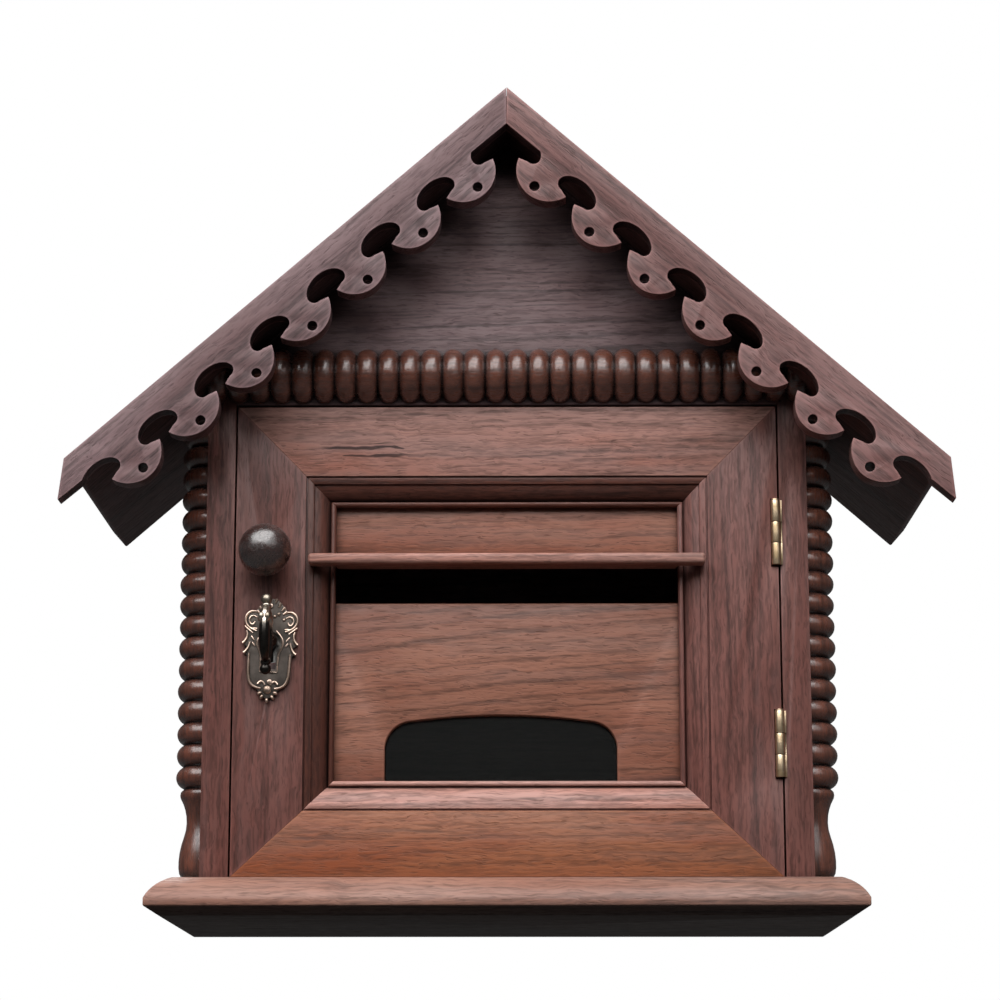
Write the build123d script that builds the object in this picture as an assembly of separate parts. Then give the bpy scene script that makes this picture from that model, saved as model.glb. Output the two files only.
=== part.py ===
"""A house-shaped wooden suggestion box with a framed door, in millimetres.

The origin is the centre of the base board's underside. +X runs to the right of a person
who faces the door, +Y runs from the door to the back, and +Z is up.
"""
from build123d import *

import os
from math import ceil, cos, floor, radians, sin, sqrt, tan

# Carcass
CARCASS_WIDTH = 303.0
CARCASS_DEPTH = 142.0
WALL_THICKNESS = 14.0
BACK_THICKNESS = 9.0
GABLE_THICKNESS = 12.0

# Base board: flat on top and below, with a rounded bevel over a thin nose
BASE_THICKNESS = 19.0
BASE_OVERHANG = 24.4
BASE_NOSE_HEIGHT = 3.8
BASE_UNDERCUT_HEIGHT = 4.4
BASE_UNDERCUT_RUN = 7.0
BASE_BEVEL_RUN = 12.7
BASE_BEVEL_BULGE = 1.6

# Door frame with mitred corners, set in flush between the side walls
DOOR_HEIGHT = 238.0
DOOR_THICKNESS = 18.0
DOOR_GAP = 1.0
STILE_WIDTH = 35.1
TOP_RAIL_WIDTH = 36.0
BOTTOM_RAIL_WIDTH = 32.6

# Moulding round the panels, across its width from the frame to the panels
MOULDING_WIDTH = 15.2
MOULDING_GROOVE = 1.0
MOULDING_FILLET = 3.2
MOULDING_QUIRK = 1.2
MOULDING_SWELL = 1.5
MOULDING_VALLEY = 6.4
MOULDING_BEAD = 2.6
MOULDING_BEAD_RECESS = 4.6
MOULDING_REBATE = 5.0

# Panels, letter slot, hood and window
PANEL_RECESS = 8.0
PANEL_THICKNESS = 6.0
SLOT_HEIGHT = 19.6
LOWER_PANEL_TOP = 138.0
HOOD_THICKNESS = 5.5
HOOD_PROJECTION = 10.0
HOOD_DROP = 2.4
HOOD_END_MARGIN = 2.0
HOOD_EDGE_RADIUS = 2.0
WINDOW_WIDTH = 116.0
WINDOW_HEIGHT = 33.5
WINDOW_OFFSET = 3.0
WINDOW_CROWN = 3.0
WINDOW_CORNER = 14.0
PANE_THICKNESS = 2.0
PANE_LAP = 5.0

# Roof
ROOF_PITCH = 41.4
ROOF_THICKNESS = 12.0
ROOF_SLOPE = 292.0
ROOF_FRONT_OVERHANG = 26.0
ROOF_ABOVE_DOOR = 20.8

# Bargeboards, measured along the slope from the ridge and square to it from the top edge
BARGE_THICKNESS = 11.0
BARGE_BAND = 14.4
BARGE_TIP_REACH = 15.4
BARGE_TIP_DROP = 14.0
BARGE_TIP_BLUNT = 0.3
FRET_PITCH = 36.6
FRET_FIRST = 45.6
FRET_TIP_DEPTH = 24.0
FRET_BELLY_DEPTH = 35.2
FRET_NECK_GAP = 5.6
CUTOUT_WIDTH = 23.0
CUTOUT_TOP = 12.0
CUTOUT_SHOULDER = 19.2
CUTOUT_BOTTOM = 22.6
CUTOUT_LOBE = 4.0
EYE_DIAMETER = 5.0
EYE_DEPTH = 30.0

# Bobbin turning, used on the gable rod and on the two half columns
TURNING_RADIUS = 14.3
BEAD_PITCH = 10.9
BEAD_DEPTH = 2.2
ROD_ABOVE_DOOR = 1.6
COLUMN_SETBACK = 1.5
FOOT_HEIGHT = 40.0
FOOT_NECK_HEIGHT = 31.0
FOOT_NECK_RADIUS = 10.3
FOOT_BULGE_HEIGHT = 12.0
FOOT_BULGE_RADIUS = 14.0
FOOT_BASE_RADIUS = 11.7

# Butt hinges
HINGE_LENGTH = 33.0
HINGE_INSET = 65.5
HINGE_LEAF_DEPTH = 16.0
HINGE_LEAF_THICKNESS = 1.2
KNUCKLE_RADIUS = 2.4
KNUCKLE_GAP = 0.3
KNUCKLE_NOTCH_GAP = 0.3
HINGE_AXIS_INSET = 1.0
HINGE_AXIS_PROUD = 0.5
HINGE_PIN_RADIUS = 1.2
HINGE_PIN_HEAD_HEIGHT = 0.8
HINGE_PIN_HEAD_RADIUS = 2.0
HINGE_SCREW_SPACING = 21.0
HINGE_SCREW_DEPTH = 9.3
RUNNING_CLEARANCE = 0.05

# Countersunk screws
SCREW_HEAD_RADIUS = 2.6
SCREW_SHANK_RADIUS = 1.3
SCREW_LENGTH = 9.0
SCREW_HOLE_CLEARANCE = 0.05

# Knob
KNOB_FROM_EDGE = 16.0
KNOB_HEIGHT = 161.1
KNOB_RADIUS = 13.2
KNOB_LENGTH = 28.5
KNOB_FLANGE_RADIUS = 7.6
KNOB_FLANGE_HEIGHT = 2.4
KNOB_NECK_RADIUS = 5.6
KNOB_JOIN_RADIUS = 7.0
KNOB_SCREW_RADIUS = 2.0
KNOB_SCREW_BITE = 12.0
KNOB_SCREW_HEAD_RADIUS = 4.2
KNOB_SCREW_HEAD_HEIGHT = 2.2

# Mortise lock
LOCK_FROM_EDGE = 18.3
LOCK_HEIGHT = 116.6
LOCK_CASE_WIDTH = 31.0
LOCK_CASE_HEIGHT = 46.0
LOCK_CASE_DEPTH = 9.8
LOCK_SHEET = 1.2
LOCK_CHEEK = 4.6
LOCK_POCKET_GAP = 0.2
FACEPLATE_THICKNESS = 1.5
FACEPLATE_WIDTH = 11.0
FACEPLATE_HEIGHT = 62.0
FACEPLATE_SCREW_MARGIN = 4.0
CAM_BOSS_RADIUS = 10.0
CAM_FLANGE_RADIUS = 11.5
CAM_FLANGE_THICKNESS = 3.0
CAM_END_GAP = 0.1
CRANK_RADIUS = 5.66
CRANK_PIN_RADIUS = 1.3
CRANK_SLOT_GAP = 0.3
CAM_TURN = 90.0
BOLT_THICKNESS = 3.4
BOLT_HEIGHT = 14.0
BOLT_LENGTH = 29.0
BOLT_RISE = 3.4
BOLT_CAM_GAP = 0.5
BOLT_GUIDE_GAP = 0.2
BOLT_SOCKET_DEPTH = 9.0
STRIKE_HEIGHT = 50.0
STRIKE_SCREW_MARGIN = 5.0

# Key
KEY_STEM_RADIUS = 2.5
KEY_FIT = 0.1
KEY_BIT_REACH = 8.9
KEY_BIT_THICKNESS = 2.2
KEY_COLLAR_RADIUS = 4.0
KEY_COLLAR_LENGTH = 3.0
KEY_COLLAR_STANDOFF = 6.0
KEY_BOW_STANDOFF = 15.0
KEY_BOW_HEIGHT = 31.0
KEY_BOW_LENGTH = 24.0
KEY_BOW_THICKNESS = 5.0
KEY_BOW_RIM = 4.6
KEY_BALL_RADIUS = 2.9
KEY_BALL_RISE = 1.7

# Escutcheon, measured from the middle of the keyhole
ESCUTCHEON_THICKNESS = 1.6
ESCUTCHEON_RIM_HEIGHT = 0.8
ESCUTCHEON_RIM_WIDTH = 1.6
PLATE_HALF_WIDTH = 10.6
PLATE_HALF_HEIGHT = 19.5
PLATE_CENTRE_DROP = 5.5
CREST_HALF_WIDTH = 9.6
CREST_HEIGHT = 22.4
SCROLL_RADIUS = 4.4
SCROLL_OFFSET = 9.6
SCROLL_RISE = 11.0
CURL_RADIUS = 2.2
CURL_OFFSET = 12.2
CURL_RISE = 0.5
CURL_SPACING = 5.6
SHELL_RADIUS = 5.4
SHELL_DROP = 26.0
KEYHOLE_RADIUS = 5.5
KEYHOLE_SLOT_WIDTH = 7.0
KEYHOLE_SLOT_DEPTH = 13.6
NAIL_RADIUS = 0.6
NAIL_LENGTH = 4.0
NAIL_HEAD_RADIUS = 1.3
NAIL_HEAD_HEIGHT = 0.7
NAIL_RISE = 18.4
NAIL_DROP = 20.0

# Screw holes in the back, for hanging the box on a wall
HANGING_HOLE_RADIUS = 2.75
HANGING_HOLE_SPACING = 200.0
HANGING_HOLE_HEIGHT = 235.0

# Planes and limits that follow from the sizes above
DOOR_FACE = -CARCASS_DEPTH / 2 + BASE_OVERHANG / 2
BACK_FACE = DOOR_FACE + CARCASS_DEPTH
BASE_FRONT = DOOR_FACE - BASE_OVERHANG
WALL_OUTSIDE = CARCASS_WIDTH / 2
WALL_INSIDE = WALL_OUTSIDE - WALL_THICKNESS
BASE_HALF_WIDTH = WALL_OUTSIDE + BASE_OVERHANG
DOOR_EDGE = WALL_INSIDE - DOOR_GAP
DOOR_BACK = DOOR_FACE + DOOR_THICKNESS
DOOR_BOTTOM = BASE_THICKNESS + DOOR_GAP
DOOR_TOP = DOOR_BOTTOM + DOOR_HEIGHT
FRAME_INSIDE = DOOR_EDGE - STILE_WIDTH
FRAME_BOTTOM = DOOR_BOTTOM + BOTTOM_RAIL_WIDTH
FRAME_TOP = DOOR_TOP - TOP_RAIL_WIDTH
PANEL_FACE = DOOR_FACE + PANEL_RECESS
PANEL_BACK = PANEL_FACE + PANEL_THICKNESS
SIGHT_INSIDE = FRAME_INSIDE - MOULDING_WIDTH
SIGHT_BOTTOM = FRAME_BOTTOM + MOULDING_WIDTH
SIGHT_TOP = FRAME_TOP - MOULDING_WIDTH
SLOT_BOTTOM = DOOR_BOTTOM + LOWER_PANEL_TOP
SLOT_TOP = SLOT_BOTTOM + SLOT_HEIGHT
PITCH = radians(ROOF_PITCH)
ROOF_UNDERSIDE = DOOR_TOP + ROOF_ABOVE_DOOR + WALL_INSIDE * tan(PITCH)
RIDGE = ROOF_UNDERSIDE + ROOF_THICKNESS / cos(PITCH)
ROOF_FRONT = DOOR_FACE - ROOF_FRONT_OVERHANG
BARGE_FRONT = ROOF_FRONT - BARGE_THICKNESS
HINGE_X = DOOR_EDGE - HINGE_AXIS_INSET
HINGE_Y = DOOR_FACE - HINGE_AXIS_PROUD
LOCK_X = LOCK_FROM_EDGE - DOOR_EDGE
LOCK_Z = DOOR_BOTTOM + LOCK_HEIGHT
LOCK_FRONT = DOOR_FACE + LOCK_CHEEK + LOCK_POCKET_GAP
LOCK_BACK = LOCK_FRONT + LOCK_CASE_DEPTH
CAM_FLANGE_FRONT = LOCK_FRONT + LOCK_SHEET + CAM_END_GAP
CAM_FLANGE_BACK = CAM_FLANGE_FRONT + CAM_FLANGE_THICKNESS
BOLT_FRONT = CAM_FLANGE_BACK + BOLT_CAM_GAP
BOLT_BACK = BOLT_FRONT + BOLT_THICKNESS
BOLT_Z = LOCK_Z + BOLT_RISE

# How far the middle of a quarter round lies from its square corner, as a share of its radius
ROUND_MIDDLE = 1 - cos(radians(45))


def block(x, y, z):
    """A box between two X, two Y and two Z limits."""
    size = (x[1] - x[0], y[1] - y[0], z[1] - z[0])
    return Pos((x[0] + x[1]) / 2, (y[0] + y[1]) / 2, (z[0] + z[1]) / 2) * Box(*size)


def prism(points, y):
    """An outline in X and Z, drawn between two Y limits."""
    face = make_face(Polyline(*[(px, y[0], pz) for px, pz in points], close=True))
    return extrude(face, amount=y[1] - y[0], dir=(0, 1, 0))


def front_shape(sketch, y):
    """A flat sketch, drawn as seen from the front, between two Y limits."""
    upright = Plane(origin=(0, y[1], 0), x_dir=(1, 0, 0), z_dir=(0, -1, 0))
    return extrude(upright * sketch, amount=y[1] - y[0], dir=(0, -1, 0))


def cylinder_y(radius, y, x, z):
    """A round bar along Y between two Y limits."""
    return Pos(x, (y[0] + y[1]) / 2, z) * Rot(X=90) * Cylinder(radius, y[1] - y[0])


def cylinder_z(radius, z, x, y):
    """A round bar along Z between two Z limits."""
    return Pos(x, y, (z[0] + z[1]) / 2) * Cylinder(radius, z[1] - z[0])


def mirrored(shape):
    """The same piece on the other side of the box."""
    return mirror(shape, about=Plane.YZ)


def aimed(point, outward):
    """A place whose local Z points out of the surface that a fastener enters."""
    return Plane(origin=point, z_dir=outward).location


def countersunk(place, clearance=0.0):
    """A countersunk screw with its head flush at the place, or the hole for it."""
    head = HINGE_LEAF_THICKNESS
    cone = Cone(SCREW_SHANK_RADIUS + clearance, SCREW_HEAD_RADIUS + clearance, head)
    shank = Cylinder(SCREW_SHANK_RADIUS + clearance, SCREW_LENGTH - head)
    body = Pos(0, 0, -head / 2) * cone + Pos(0, 0, -(SCREW_LENGTH + head) / 2) * shank
    return place * body


def all_of(shapes):
    """Several separate solids that go into one file."""
    return Compound(children=list(shapes))


def under_roof():
    """The space below the roof boards, as wide and deep as the box."""
    reach = BASE_HALF_WIDTH
    low = ROOF_UNDERSIDE - reach * tan(PITCH)
    outline = [(0, ROOF_UNDERSIDE), (reach, low), (reach, 0), (-reach, 0), (-reach, low)]
    return prism(outline, (BARGE_FRONT, BACK_FACE))


def base_profile(front, back_is_flat):
    """The base board's outline from its nose at a negative front to the far side."""
    flat_bottom = front + BASE_UNDERCUT_RUN
    nose_top = BASE_UNDERCUT_HEIGHT + BASE_NOSE_HEIGHT
    bevel_end = front + BASE_BEVEL_RUN
    middle = (front + BASE_BEVEL_RUN / 2 - BASE_BEVEL_BULGE / 2,
              (nose_top + BASE_THICKNESS) / 2 + BASE_BEVEL_BULGE)
    far = BACK_FACE if back_is_flat else 0
    edges = [Line((far, 0), (flat_bottom, 0)),
             Line((flat_bottom, 0), (front, BASE_UNDERCUT_HEIGHT)),
             Line((front, BASE_UNDERCUT_HEIGHT), (front, nose_top)),
             ThreePointArc((front, nose_top), middle, (bevel_end, BASE_THICKNESS)),
             Line((bevel_end, BASE_THICKNESS), (far, BASE_THICKNESS)),
             Line((far, BASE_THICKNESS), (far, 0))]
    return make_face(edges)


def base_board():
    """The base, moulded along its front and both sides and square at the back."""
    side = base_profile(-BASE_HALF_WIDTH, False)
    across = side + mirror(side, about=Plane.YZ)
    along = base_profile(BASE_FRONT, True)
    across_solid = front_shape(across, (BASE_FRONT, BACK_FACE))
    along_plane = Plane(origin=(-BASE_HALF_WIDTH, 0, 0), x_dir=(0, 1, 0), z_dir=(1, 0, 0))
    along_solid = extrude(along_plane * along, amount=2 * BASE_HALF_WIDTH)
    return across_solid & along_solid


def hinge_heights():
    """The height of the middle of each hinge, with its name."""
    return {"upper": DOOR_TOP - HINGE_INSET, "lower": DOOR_BOTTOM + HINGE_INSET}


def hinge_screw_places(outward):
    """Where the screws of both hinges enter one side of the joint."""
    face = WALL_INSIDE if outward[0] < 0 else DOOR_EDGE
    y = DOOR_FACE + HINGE_SCREW_DEPTH
    return [aimed((face, y, middle + side * HINGE_SCREW_SPACING / 2), outward)
            for middle in hinge_heights().values() for side in (-1, 1)]


def leaf_recess(middle, x):
    """The shallow mortise that one hinge leaf lies in."""
    half = HINGE_LENGTH / 2
    return block(x, (DOOR_FACE, DOOR_FACE + HINGE_LEAF_DEPTH), (middle - half, middle + half))


def strike_places():
    """Where the strike plate's two screws enter it."""
    reach = STRIKE_HEIGHT / 2 - STRIKE_SCREW_MARGIN
    y = (BOLT_FRONT + BOLT_BACK) / 2
    return [aimed((-WALL_INSIDE, y, BOLT_Z + side * reach), (1, 0, 0)) for side in (-1, 1)]


def strike_outline(x):
    """The strike plate's own block, between two X limits."""
    middle = (BOLT_FRONT + BOLT_BACK) / 2
    half = FACEPLATE_WIDTH / 2
    return block(x, (middle - half, middle + half),
                 (BOLT_Z - STRIKE_HEIGHT / 2, BOLT_Z + STRIKE_HEIGHT / 2))


def bolt_passage(x):
    """The space that the bolt needs where it passes a plate or a wall."""
    gap = BOLT_GUIDE_GAP
    return block(x, (BOLT_FRONT - gap, BOLT_BACK + gap),
                 (BOLT_Z - BOLT_HEIGHT / 2 - gap, BOLT_Z + BOLT_HEIGHT / 2 + gap))


def side_wall_blank():
    """The right side wall, cut to the slope of the roof."""
    top = ROOF_UNDERSIDE
    wall = block((WALL_INSIDE, WALL_OUTSIDE), (DOOR_FACE, BACK_FACE), (BASE_THICKNESS, top))
    return wall & under_roof()


def side_wall_right():
    """The hinge-side wall, with a mortise and pilot holes for each hinge."""
    wall = side_wall_blank()
    for middle in hinge_heights().values():
        wall -= leaf_recess(middle, (WALL_INSIDE, WALL_INSIDE + HINGE_LEAF_THICKNESS))
    for place in hinge_screw_places((-1, 0, 0)):
        wall -= countersunk(place, SCREW_HOLE_CLEARANCE)
    return wall


def side_wall_left():
    """The lock-side wall, with the strike plate's recess and the bolt's socket."""
    wall = mirrored(side_wall_blank())
    plate_back = -WALL_INSIDE - HINGE_LEAF_THICKNESS
    wall -= strike_outline((plate_back, -WALL_INSIDE))
    wall -= bolt_passage((-WALL_INSIDE - BOLT_SOCKET_DEPTH, plate_back))
    for place in strike_places():
        wall -= countersunk(place, SCREW_HOLE_CLEARANCE)
    return wall


def back_panel():
    """The back, let in between the side walls, with two holes to hang it by."""
    panel = block((-WALL_INSIDE, WALL_INSIDE), (BACK_FACE - BACK_THICKNESS, BACK_FACE),
                  (BASE_THICKNESS, ROOF_UNDERSIDE)) & under_roof()
    for side in (-1, 1):
        panel -= cylinder_y(HANGING_HOLE_RADIUS, (BACK_FACE - BACK_THICKNESS, BACK_FACE),
                            side * HANGING_HOLE_SPACING / 2, HANGING_HOLE_HEIGHT)
    return panel


def gable_panel():
    """The gable above the door, between the side walls."""
    return block((-WALL_INSIDE, WALL_INSIDE), (DOOR_FACE, DOOR_FACE + GABLE_THICKNESS),
                 (DOOR_TOP + DOOR_GAP, ROOF_UNDERSIDE)) & under_roof()


def roof_board():
    """The right roof board, mitred at the ridge and cut square at the eave."""
    end_x = ROOF_SLOPE * cos(PITCH)
    end_z = RIDGE - ROOF_SLOPE * sin(PITCH)
    below = (end_x - ROOF_THICKNESS * sin(PITCH), end_z - ROOF_THICKNESS * cos(PITCH))
    outline = [(0, RIDGE), (end_x, end_z), below, (0, ROOF_UNDERSIDE)]
    return prism(outline, (ROOF_FRONT, BACK_FACE))


def bead_edges(start, count):
    """The outline of a row of turned beads, from one groove to the next."""
    groove = TURNING_RADIUS - BEAD_DEPTH
    return [ThreePointArc((groove, 0, start + i * BEAD_PITCH),
                          (TURNING_RADIUS, 0, start + (i + 0.5) * BEAD_PITCH),
                          (groove, 0, start + (i + 1) * BEAD_PITCH)) for i in range(count)]


def turned(edges, low, high):
    """A turned piece along Z, from its outline between two points on the axis."""
    first = edges[0] @ 0
    last = edges[-1] @ 1
    closing = [Line((0, 0, low), first), Line(last, (0, 0, high)), Line((0, 0, high), (0, 0, low))]
    return revolve(make_face(closing + edges), Axis.Z)


def gable_rod():
    """The bobbin-turned half rod over the door, trimmed by the roof boards."""
    count = 2 * ceil(WALL_OUTSIDE / BEAD_PITCH)
    reach = count * BEAD_PITCH / 2
    rod = turned(bead_edges(-reach, count), -reach, reach)
    middle = DOOR_TOP + ROD_ABOVE_DOOR + TURNING_RADIUS
    rod = Pos(0, DOOR_FACE, middle) * Rot(Y=90) * rod
    front_half = block((-WALL_OUTSIDE, WALL_OUTSIDE), (DOOR_FACE - TURNING_RADIUS, DOOR_FACE),
                       (middle - TURNING_RADIUS, middle + TURNING_RADIUS))
    return rod & front_half & under_roof()


def column():
    """The turned half column on the right side wall, on its vase-shaped foot."""
    low = BASE_THICKNESS
    top = ROOF_UNDERSIDE - WALL_OUTSIDE * tan(PITCH)
    beads_start = low + FOOT_HEIGHT
    count = max(1, ceil((top - beads_start) / BEAD_PITCH))
    end = beads_start + count * BEAD_PITCH
    waist = (FOOT_BULGE_HEIGHT + FOOT_NECK_HEIGHT) / 2
    waist_radius = (FOOT_BULGE_RADIUS + FOOT_NECK_RADIUS) / 2
    foot = Spline((FOOT_BASE_RADIUS, 0, low),
                  (FOOT_BULGE_RADIUS, 0, low + FOOT_BULGE_HEIGHT),
                  (waist_radius, 0, low + waist),
                  (FOOT_NECK_RADIUS, 0, low + FOOT_NECK_HEIGHT),
                  (TURNING_RADIUS - BEAD_DEPTH, 0, beads_start))
    post = turned([foot] + bead_edges(beads_start, count), low, end)
    middle = DOOR_FACE + COLUMN_SETBACK + TURNING_RADIUS
    outer_half = block((WALL_OUTSIDE, WALL_OUTSIDE + TURNING_RADIUS),
                       (middle - TURNING_RADIUS, middle + TURNING_RADIUS), (low, end))
    return Pos(WALL_OUTSIDE, middle, 0) * post & outer_half & under_roof()


def fret_cutout(middle):
    """The mushroom-shaped opening between two neighbouring heads of the fretwork."""
    half = CUTOUT_WIDTH / 2
    neck = FRET_NECK_GAP / 2
    rise = CUTOUT_SHOULDER - CUTOUT_TOP
    dome = EllipticalCenterArc((0, -CUTOUT_SHOULDER), half, rise, arc_size=180)
    lobe_mid = (half - CUTOUT_LOBE * ROUND_MIDDLE,
                (CUTOUT_BOTTOM - CUTOUT_SHOULDER) * ROUND_MIDDLE - CUTOUT_BOTTOM)
    lobe_end = (half - CUTOUT_LOBE, -CUTOUT_BOTTOM)
    right = ThreePointArc((half, -CUTOUT_SHOULDER), lobe_mid, lobe_end)
    left = ThreePointArc((-half, -CUTOUT_SHOULDER), (-lobe_mid[0], lobe_mid[1]),
                         (-lobe_end[0], lobe_end[1]))
    base = Polyline(lobe_end, (neck, -FRET_TIP_DEPTH), (-neck, -FRET_TIP_DEPTH),
                    (-lobe_end[0], lobe_end[1]))
    return Pos(middle, 0) * make_face([dome, right, base, left])


def fret_belly(middle):
    """The rounded underside of one head of the fretwork."""
    half = (FRET_PITCH - FRET_NECK_GAP) / 2
    chord = Line((-half, -FRET_TIP_DEPTH), (half, -FRET_TIP_DEPTH))
    arc = ThreePointArc((half, -FRET_TIP_DEPTH), (0, -FRET_BELLY_DEPTH), (-half, -FRET_TIP_DEPTH))
    return Pos(middle, 0) * make_face([chord, arc])


def crown_side(middle):
    """The part of the first cut-out that lies below the band and past its own middle."""
    height = FRET_TIP_DEPTH - BARGE_BAND
    return Pos(middle + CUTOUT_WIDTH / 2, -BARGE_BAND - height / 2) * Rectangle(CUTOUT_WIDTH, height)


def barge_outline():
    """The right bargeboard's face, along the slope in X and square to it in -Y."""
    tip = ROOF_SLOPE + BARGE_TIP_REACH
    half_pitch = FRET_PITCH / 2
    heads = floor((ROOF_SLOPE - FRET_FIRST - half_pitch) / FRET_PITCH) + 1
    centres = [FRET_FIRST + i * FRET_PITCH for i in range(heads)]
    strip_end = centres[-1] + half_pitch
    blade = [(0, 0), (ROOF_SLOPE, 0), (tip, -BARGE_TIP_DROP), (tip - BARGE_TIP_BLUNT, -BARGE_BAND),
             (strip_end, -BARGE_BAND), (strip_end, -FRET_TIP_DEPTH), (0, -FRET_TIP_DEPTH)]
    outline = make_face(Polyline(*blade, close=True))
    for middle in centres:
        outline += fret_belly(middle)
    for middle in centres:
        outline -= fret_cutout(middle + half_pitch)
        outline -= Pos(middle, -EYE_DEPTH) * Circle(EYE_DIAMETER / 2)
    first = centres[0] - half_pitch
    neck = first + FRET_NECK_GAP / 2
    gap = [(0, -BARGE_BAND), (first, -BARGE_BAND), (neck, -CUTOUT_BOTTOM), (neck, -FRET_TIP_DEPTH),
           (0, -FRET_TIP_DEPTH)]
    outline -= make_face(Polyline(*gap, close=True))
    return outline - (fret_cutout(first) & crown_side(first))


def bargeboard():
    """The right bargeboard, mitred at the ridge."""
    board = front_shape(Rot(Z=-ROOF_PITCH) * barge_outline(), (BARGE_FRONT, ROOF_FRONT))
    board = Pos(0, 0, RIDGE) * board
    reach = ROOF_SLOPE + BARGE_TIP_REACH
    return board & block((0, reach), (BARGE_FRONT, ROOF_FRONT), (0, RIDGE))


def frame_piece(outline):
    """One mitred member of the door frame."""
    return prism(outline, (DOOR_FACE, DOOR_BACK))


def lock_pocket():
    """The mortise in the lock stile, open at the door's edge and at the keyhole."""
    gap = LOCK_POCKET_GAP
    inner = FACEPLATE_THICKNESS + LOCK_CASE_WIDTH + gap - DOOR_EDGE
    half = LOCK_CASE_HEIGHT / 2 + gap
    pocket = block((-DOOR_EDGE, inner), (LOCK_FRONT - gap, LOCK_BACK + gap),
                   (LOCK_Z - half, LOCK_Z + half))
    bore = cylinder_y(CAM_BOSS_RADIUS + gap, (DOOR_FACE, LOCK_FRONT), LOCK_X, LOCK_Z)
    return pocket + bore + faceplate_blank()


def faceplate_blank():
    """The lock's faceplate without its holes, flush in the door's edge."""
    middle = (LOCK_FRONT + LOCK_BACK) / 2
    return block((-DOOR_EDGE, FACEPLATE_THICKNESS - DOOR_EDGE),
                 (middle - FACEPLATE_WIDTH / 2, middle + FACEPLATE_WIDTH / 2),
                 (LOCK_Z - FACEPLATE_HEIGHT / 2, LOCK_Z + FACEPLATE_HEIGHT / 2))


def faceplate_places():
    """Where the faceplate's two screws enter it."""
    reach = FACEPLATE_HEIGHT / 2 - FACEPLATE_SCREW_MARGIN
    middle = (LOCK_FRONT + LOCK_BACK) / 2
    return [aimed((-DOOR_EDGE, middle, LOCK_Z + side * reach), (-1, 0, 0)) for side in (-1, 1)]


def knob_place():
    """The middle of the knob's foot, in X and Z."""
    return KNOB_FROM_EDGE - DOOR_EDGE, DOOR_BOTTOM + KNOB_HEIGHT


def stile_left():
    """The lock stile."""
    outline = [(-DOOR_EDGE, DOOR_BOTTOM), (-FRAME_INSIDE, FRAME_BOTTOM),
               (-FRAME_INSIDE, FRAME_TOP), (-DOOR_EDGE, DOOR_TOP)]
    stile = frame_piece(outline) - lock_pocket()
    for place in faceplate_places():
        stile -= countersunk(place, SCREW_HOLE_CLEARANCE)
    for point in nail_points():
        stile -= nail(point, SCREW_HOLE_CLEARANCE)
    x, z = knob_place()
    return stile - cylinder_y(KNOB_SCREW_RADIUS + SCREW_HOLE_CLEARANCE, (DOOR_FACE, DOOR_BACK), x, z)


def stile_right():
    """The hinge stile, notched for the hinge barrels."""
    outline = [(DOOR_EDGE, DOOR_BOTTOM), (DOOR_EDGE, DOOR_TOP),
               (FRAME_INSIDE, FRAME_TOP), (FRAME_INSIDE, FRAME_BOTTOM)]
    stile = frame_piece(outline)
    notch = KNUCKLE_RADIUS + KNUCKLE_NOTCH_GAP
    half = HINGE_LENGTH / 2 + KNUCKLE_GAP + HINGE_PIN_HEAD_HEIGHT
    for middle in hinge_heights().values():
        stile -= cylinder_z(notch, (middle - half, middle + half), HINGE_X, HINGE_Y)
        stile -= leaf_recess(middle, (DOOR_EDGE - HINGE_LEAF_THICKNESS, DOOR_EDGE))
    for place in hinge_screw_places((1, 0, 0)):
        stile -= countersunk(place, SCREW_HOLE_CLEARANCE)
    return stile


def rail(outer, inner):
    """A mitred rail between two heights, the outer edge first."""
    outline = [(-DOOR_EDGE, outer), (DOOR_EDGE, outer), (FRAME_INSIDE, inner), (-FRAME_INSIDE, inner)]
    return frame_piece(outline)


def moulding_face():
    """The moulding's section: distance from the frame in X, depth behind the door in Y."""
    fillet_end = MOULDING_GROOVE + MOULDING_FILLET
    bead_start = MOULDING_WIDTH - MOULDING_BEAD
    run = bead_start - fillet_end
    drop = MOULDING_VALLEY - MOULDING_QUIRK
    chord = sqrt(run ** 2 + drop ** 2)
    swell = ((fillet_end + bead_start) / 2 + MOULDING_SWELL * drop / chord,
             (MOULDING_QUIRK + MOULDING_VALLEY) / 2 - MOULDING_SWELL * run / chord)
    back = PANEL_RECESS + PANEL_THICKNESS
    shelf = MOULDING_WIDTH - MOULDING_REBATE
    edges = [Polyline((0, back), (0, MOULDING_QUIRK), (MOULDING_GROOVE, MOULDING_QUIRK), (MOULDING_GROOVE, 0),
                      (fillet_end, 0), (fillet_end, MOULDING_QUIRK)),
             ThreePointArc((fillet_end, MOULDING_QUIRK), swell, (bead_start, MOULDING_VALLEY)),
             Line((bead_start, MOULDING_VALLEY), (bead_start, MOULDING_BEAD_RECESS)),
             ThreePointArc((bead_start, MOULDING_BEAD_RECESS),
                           (MOULDING_WIDTH - MOULDING_BEAD / 2, MOULDING_BEAD_RECESS - MOULDING_BEAD / 2),
                           (MOULDING_WIDTH, MOULDING_BEAD_RECESS)),
             Polyline((MOULDING_WIDTH, MOULDING_BEAD_RECESS), (MOULDING_WIDTH, PANEL_RECESS),
                      (shelf, PANEL_RECESS), (shelf, back), (0, back))]
    return make_face(edges)


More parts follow.
